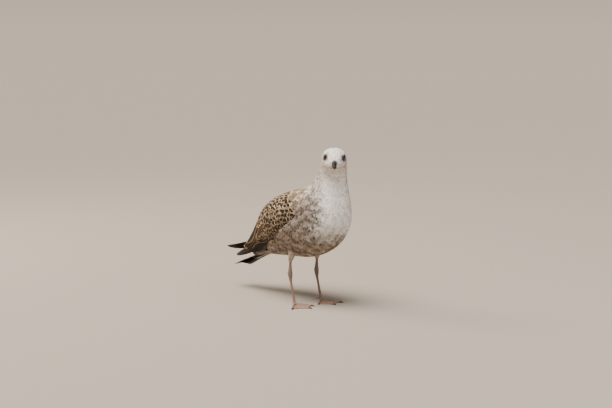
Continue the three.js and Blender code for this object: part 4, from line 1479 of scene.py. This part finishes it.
# Horn: keratin grown in layers, with a satin gloss and long faint streaks towards the tip.
HORN_GRAIN = 0.0011
HORN_STREAK = 0.12  # a streak's width over its length
horn, finish_horn = new_material("bill_horn")
horn_run = add_node(horn, "Mapping", {"vector_type": "POINT"}, {"Vector": object_place(horn)})
horn_run.inputs["Rotation"].default_value = (0, 0, -HEAD_TURN)
horn_run.inputs["Scale"].default_value = (1, HORN_STREAK, 1)
grain_inputs = {"Vector": horn_run.outputs[0], "Scale": 1 / HORN_GRAIN, "Detail": 4.0}
horn_grain = add_node(horn, "TexNoise", inputs=grain_inputs).outputs["Fac"]
horn_inputs = {
    "Base Color": toned(horn, own_colour(horn), spread(horn, horn_grain, (0.8, 1.25), (0.3, 0.7))),
    "Roughness": spread(horn, horn_grain, (0.4, 0.55), (0.3, 0.7)),
    "Normal": bumped(horn, horn_grain, 0.25, 0.0003),
    "IOR": 1.55,
    "Specular IOR Level": 0.18,
}
horn_material = finish_horn(horn_inputs)

for name, rows, powers in (
    ("upper", UPPER_BILL_ROWS, (1.15, 0.55)),
    ("lower", LOWER_BILL_ROWS, (0.6, 1.1)),
):
    bill_t, bill_angle = crossed(np.linspace(0, len(rows) - 1, 150), angles_round(97))
    shape = mandible(rows, bill_t, bill_angle, *powers)
    ahead, up = -shape[..., 1], shape[..., 2]
    if name == "upper":
        along = (ahead - NOSTRIL[0]) / NOSTRIL_LONG
        over = up - NOSTRIL[1] + 0.02 * (ahead - NOSTRIL[0])
        slit = np.exp(-(along**4)) * np.exp(-((over / NOSTRIL_HIGH) ** 2)) * NOSTRIL_DEEP
        groove = spot(ahead, over, *GROOVE) * GROOVE_DEEP
        lip = np.exp(-((np.cos(bill_angle) + 0.72) / 0.12) ** 2) * LIP_OUT * smoothstep(120, 128, ahead)
        shape[..., 0] -= np.sign(shape[..., 0]) * (slit + groove - lip)
    base = 1 - smoothstep(*BASE_FADE, ahead + 4 * ripple(shape, 9))
    low_side = smoothstep(330, 323.5, up) if name == "upper" else 0.4 + 0.6 * smoothstep(319, 324, up)
    colours = mix(BILL_BLACK, BILL_BASE, np.clip(base * low_side, 0, 1))
    colours = mix(colours, BILL_TIP, smoothstep(*TIP_FADE, ahead) * 0.8)
    if name == "upper":
        colours = mix(colours, PUPIL_BLACK, np.clip(slit / NOSTRIL_DEEP, 0, 1) * 0.8)
    points, faces = closed_rings(turned(shape))
    piece = add_mesh(f"bill_{name}_horn", points, faces, with_ends(colours))
    piece.data.materials.append(horn_material)
    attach(piece, "root")
    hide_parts(f"bill_{name}")

# ---- Legs and feet ----
# The bare leg from the trousers over the hock to the ankle, three long toes joined by two webs, and a small
# hind toe: bone and sinew in thin scaly skin, with plates down the leg's front and over the toes, and
# wrinkled webs.

LEG_SIDE = 38
FOOT_VOXEL = 0.0006
# Per row: ahead, up, half width, half depth.
SHANK_ROWS = np.array([
    [-15, 108, 2.2, 2.6],
    [-15, 103, 2.6, 3],
    [-16, 89, 3.0, 3.6],
    [-16.5, 79, 3.9, 5.0],
    [-17, 71, 5.1, 6.3],
    [-16.2, 64, 4.4, 5.4],
    [-15, 56, 3.0, 3.8],
    [-12.6, 48, 2.5, 3.2],
    [-7, 29, 2.5, 3.1],
    [-2.5, 13, 2.9, 3.5],
    [-1, 7.5, 3.5, 4.1],
    [0, 4, 3.0, 3.4],
])
TOE_LENGTHS = {"inner": 41, "middle": 53, "outer": 49}
# Degrees outwards from straight ahead.
TOE_ANGLES = {
    "left": {"inner": -46, "middle": -4, "outer": 28},
    "right": {"inner": -33, "middle": -3, "outer": 44},
}
# Per row: share of the toe's length, up, half width, half height; each toe swells a little at its joints.
TOE_ROWS = np.array([
    [-0.07, 4, 2.4, 2.6],
    [-0.02, 4, 3.2, 3.4],
    [0.2, 3.1, 2.3, 2.8],
    [0.34, 2.7, 2.7, 2.9],
    [0.5, 2.4, 2.1, 2.4],
    [0.66, 2.3, 2.5, 2.5],
    [0.8, 2.0, 2.0, 2.1],
    [0.93, 2.0, 2.2, 2.1],
    [1.0, 2.0, 1.2, 1.2],
])
HIND_TOE_ROWS = np.array([
    [-2, 8, 1.6, 1.6],
    [1, 8, 2.2, 2.2],
    [7, 6.6, 1.8, 1.8],
    [10, 5.6, 1.2, 1.2],
])
HIND_TOE_LENGTH = 9
WEB_UP = 1.25
WEB_THICK = 1.1
WEB_HOLLOW = 0.08
WEB_SHARE = 0.95  # of the toe's length
WEB_WRINKLE = 0.08
ANKLE_UP = (9, 14)  # over these heights the foot passes into the leg
HOCK_UP = 70
SCUTE = 2.2  # length of a plate
SCUTE_STEP = 0.16
CREASE = 1.9  # from one crease of the hock to the next
CREASE_DEEP = 0.14
LEG_PINK = linear("#765e52")
LEG_GREY = linear("#655a53")
WEB_PINK = linear("#8d6e60")
SOLE_GREY = linear("#8f8079")


def toe_direction(name, toe):
    """The level unit vector along a toe."""
    angle = math.radians(TOE_ANGLES[name][toe]) * SIDES[name]
    return np.array([math.sin(angle), -math.cos(angle), 0])


def rod(start, direction, table, count, angle, times=1, plus=0):
    """A closed rod along a level direction from a table of distance, up, half width and half height, with the
    distances times a factor and plus a length."""
    rows = row_at(table, np.linspace(0, len(table) - 1, count))[:, None]
    distance, up, half, high = np.moveaxis(rows, -1, 0)
    distance = distance * times + plus + 0 * angle
    across = np.array([-direction[1], direction[0], 0])
    point = start + direction * distance[..., None] + across * (np.cos(angle) * half)[..., None]
    point[..., 2] = up + np.sin(angle) * high
    return capsule(point)


def hind_direction(side):
    """The level unit vector along the hind toe, back and a little inwards."""
    return unit(np.array([-side * 0.35, 0.94, 0]))


def capsule(rings):
    """Rings as closed points and faces, wound so that the faces point outwards."""
    middle = rings.mean((0, 1))
    points, faces = closed_rings(rings)
    first = points[faces[0][: len(faces[0]) // 2]]
    normal = np.cross(first[:, 2] - first[:, 0], first[:, 3] - first[:, 1])
    inward = ((first.mean(1) - middle) * normal).sum() < 0
    return closed_rings(rings[:, ::-1]) if inward else (points, faces)


# Scaly skin: dry and leathery with a faint satin; the plates show as rows of shallow steps, the sides and
# webs as a net of scales about 1 mm across.
NET = 0.0011
scaly, finish_scaly = new_material("scaly_skin")
net_inputs = {"Vector": object_place(scaly), "Scale": 1 / NET}
net = add_node(scaly, "TexVoronoi", {"feature": "DISTANCE_TO_EDGE"}, net_inputs)
net_depth = spread(scaly, net.outputs["Distance"], (0, 1), (0, 0.16))
patch_inputs = {"Vector": net_inputs["Vector"], "Scale": 160.0, "Detail": 3.0}
patches = add_node(scaly, "TexNoise", inputs=patch_inputs).outputs["Fac"]
patch_tone = spread(scaly, patches, (0.86, 1.12), (0.3, 0.7))
scaly_tone = maths(scaly, "MULTIPLY", spread(scaly, net_depth, (0.8, 1.04)), patch_tone)
scaly_inputs = {
    "Base Color": toned(scaly, own_colour(scaly), scaly_tone),
    "Roughness": 0.5,
    "Normal": bumped(scaly, net_depth, 0.4, 0.0003),
}
scaly_skin = finish_scaly(scaly_inputs)

for name, side in SIDES.items():
    ankle = np.array([side * LEG_SIDE, 0, 0])
    ring_angle = angles_round(33)
    rows = row_at(SHANK_ROWS, np.linspace(0, len(SHANK_ROWS) - 1, 110))[:, None]
    shank_x = side * LEG_SIDE + np.cos(ring_angle) * rows[..., 2]
    shank_y = -rows[..., 0] + np.sin(ring_angle) * rows[..., 3]
    parts = [capsule(np.stack((shank_x, shank_y, rows[..., 1] + 0 * shank_x), -1))]
    for toe, long in TOE_LENGTHS.items():
        parts.append(rod(ankle, toe_direction(name, toe), TOE_ROWS, 70, ring_angle, times=long))
    parts.append(rod(ankle, hind_direction(side), HIND_TOE_ROWS, 24, ring_angle))
    for near_toe, far_toe in (("inner", "middle"), ("middle", "outer")):
        share, out = crossed(np.linspace(0, 1, 40), np.linspace(0.02, 1, 60))
        near_tip, far_tip = (
            toe_direction(name, toe) * TOE_LENGTHS[toe] * WEB_SHARE for toe in (near_toe, far_toe)
        )
        reach = out * (1 - WEB_HOLLOW * 4 * share * (1 - share))
        flat = mix(near_tip, far_tip, share) * reach[..., None] + ankle
        fold = 0.18 * np.sin(share * 17 + 2 * out) * np.sin(np.pi * share) * smoothstep(0.2, 0.6, out)
        thick = WEB_THICK / 2 * np.sqrt(1 - np.clip((out - 0.94) / 0.065, 0, 1) ** 2)
        upper, lower = flat.copy(), flat.copy()
        upper[..., 2] = WEB_UP + fold + 0.5 * (2 * share - 1) ** 4 + thick
        lower[..., 2] = WEB_UP + fold + 0.5 * (2 * share - 1) ** 4 - thick
        parts.append(capsule(np.concatenate((upper, lower[:, ::-1]), 1)))
    limb = add_mesh(f"leg_{name}_skin", *joined(parts))
    make_one(limb, FOOT_VOXEL)
    softer = limb.modifiers.new("softer", "SMOOTH")
    softer.iterations = 3
    softer.factor = 0.5
    mesh = settle(limb)
    points = (values_of(mesh.vertices, "co", 3) - SHIFT) / MM
    normals = values_of(mesh.vertices, "normal", 3)
    up = points[:, 2]
    from_ankle = points - ankle
    leg_share = smoothstep(*ANKLE_UP, up)
    toe_share, toe_run = 0 * up, 0 * up
    for toe, long in TOE_LENGTHS.items():
        direction = toe_direction(name, toe)
        run = from_ankle @ direction
        off = np.linalg.norm(from_ankle[:, :2] - run[:, None] * direction[:2], axis=1)
        own = (1 - smoothstep(2.2, 3.2, off)) * (run > -3) * (1 - leg_share)
        toe_run = np.where(own > toe_share, run, toe_run)
        toe_share = np.maximum(toe_share, own)
    front = smoothstep(0.1, 0.6, -normals[:, 1]) * leg_share
    over = smoothstep(0.2, 0.7, normals[:, 2]) * toe_share
    run = np.where(leg_share > 0.5, up, toe_run) / SCUTE
    step = (run % 1) ** 0.7
    plate = np.clip(front + over, 0, 1)
    hock = np.exp(-(((up - HOCK_UP) / 8) ** 2))
    crease = 0.5 + 0.5 * np.sin(up * 2 * np.pi / CREASE + 2 * ripple(points, 7))
    height = plate * (SCUTE_STEP * step - 0.1) - (1 - plate) * hock * CREASE_DEEP * crease
    web = (1 - leg_share) * (1 - toe_share) * smoothstep(0.3, 0.8, np.abs(normals[:, 2]))
    height = height + web * WEB_WRINKLE * ripple(points, 4.5)
    points = points + normals * height[:, None]
    points[:, 2] = np.maximum(points[:, 2], 0)
    mesh.vertices.foreach_set("co", (points * MM + SHIFT).astype(np.float32).ravel())
    colours = mix(LEG_PINK, WEB_PINK, web)
    grey = hock * 0.6 + plate * 0.35 * (1 - step) + 0.25 * ripple(points, 16)
    colours = mix(colours, LEG_GREY, np.clip(grey, 0, 1))
    colours = mix(colours, SOLE_GREY, smoothstep(0.3, 0.8, -normals[:, 2]) * (1 - leg_share) * 0.8)
    paint(mesh, colours)
    limb.data.materials.append(scaly_skin)
    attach(limb, "root")
    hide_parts(f"leg_{name}", f"foot_{name}")

# ---- Claws ----
# Short curved horn cones that grow over the end of each toe, the small hind one too: blackish, and worn pale
# at the point.

CLAW_BLACK = linear("#1b1714")
CLAW_TIP = linear("#5a5048")
# Per row: distance past the toe's end, up, half width, half height.
CLAW_ROWS = np.array([
    [-3, 2.2, 0.9, 1.0],
    [-1.6, 2.5, 1.25, 1.45],
    [1.4, 2.6, 1.15, 1.35],
    [4.4, 1.9, 0.8, 0.95],
    [6.6, 0.9, 0.4, 0.5],
    [7.4, 0.42, 0.12, 0.14],
])
HIND_CLAW_ROWS = np.array([
    [8, 6.0, 0.7, 0.7],
    [10, 5.7, 0.8, 0.9],
    [12.5, 4.8, 0.5, 0.6],
    [14, 3.9, 0.12, 0.14],
])
for name, side in SIDES.items():
    ankle = np.array([side * LEG_SIDE, 0, 0])
    ring_angle = angles_round(25)
    parts = [
        rod(ankle, toe_direction(name, toe), CLAW_ROWS, 40, ring_angle, plus=long)
        for toe, long in TOE_LENGTHS.items()
    ]
    parts.append(rod(ankle, hind_direction(side), HIND_CLAW_ROWS, 24, ring_angle))
    points, faces = joined(parts)
    points[:, 2] = np.maximum(points[:, 2], 0)
    out = np.linalg.norm((points - ankle)[:, :2], axis=1)
    sizes = [len(part[0]) for part in parts]
    longs = np.repeat([*TOE_LENGTHS.values(), HIND_TOE_LENGTH], sizes)
    colours = mix(CLAW_BLACK, CLAW_TIP, smoothstep(4.5, 7.5, out - longs))
    piece = add_mesh(f"claws_{name}", points, faces, colours)
    piece.data.materials.append(horn_material)
    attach(piece, "root")
    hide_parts(*(f"claw_{name}_{toe}" for toe in TOE_LENGTHS))
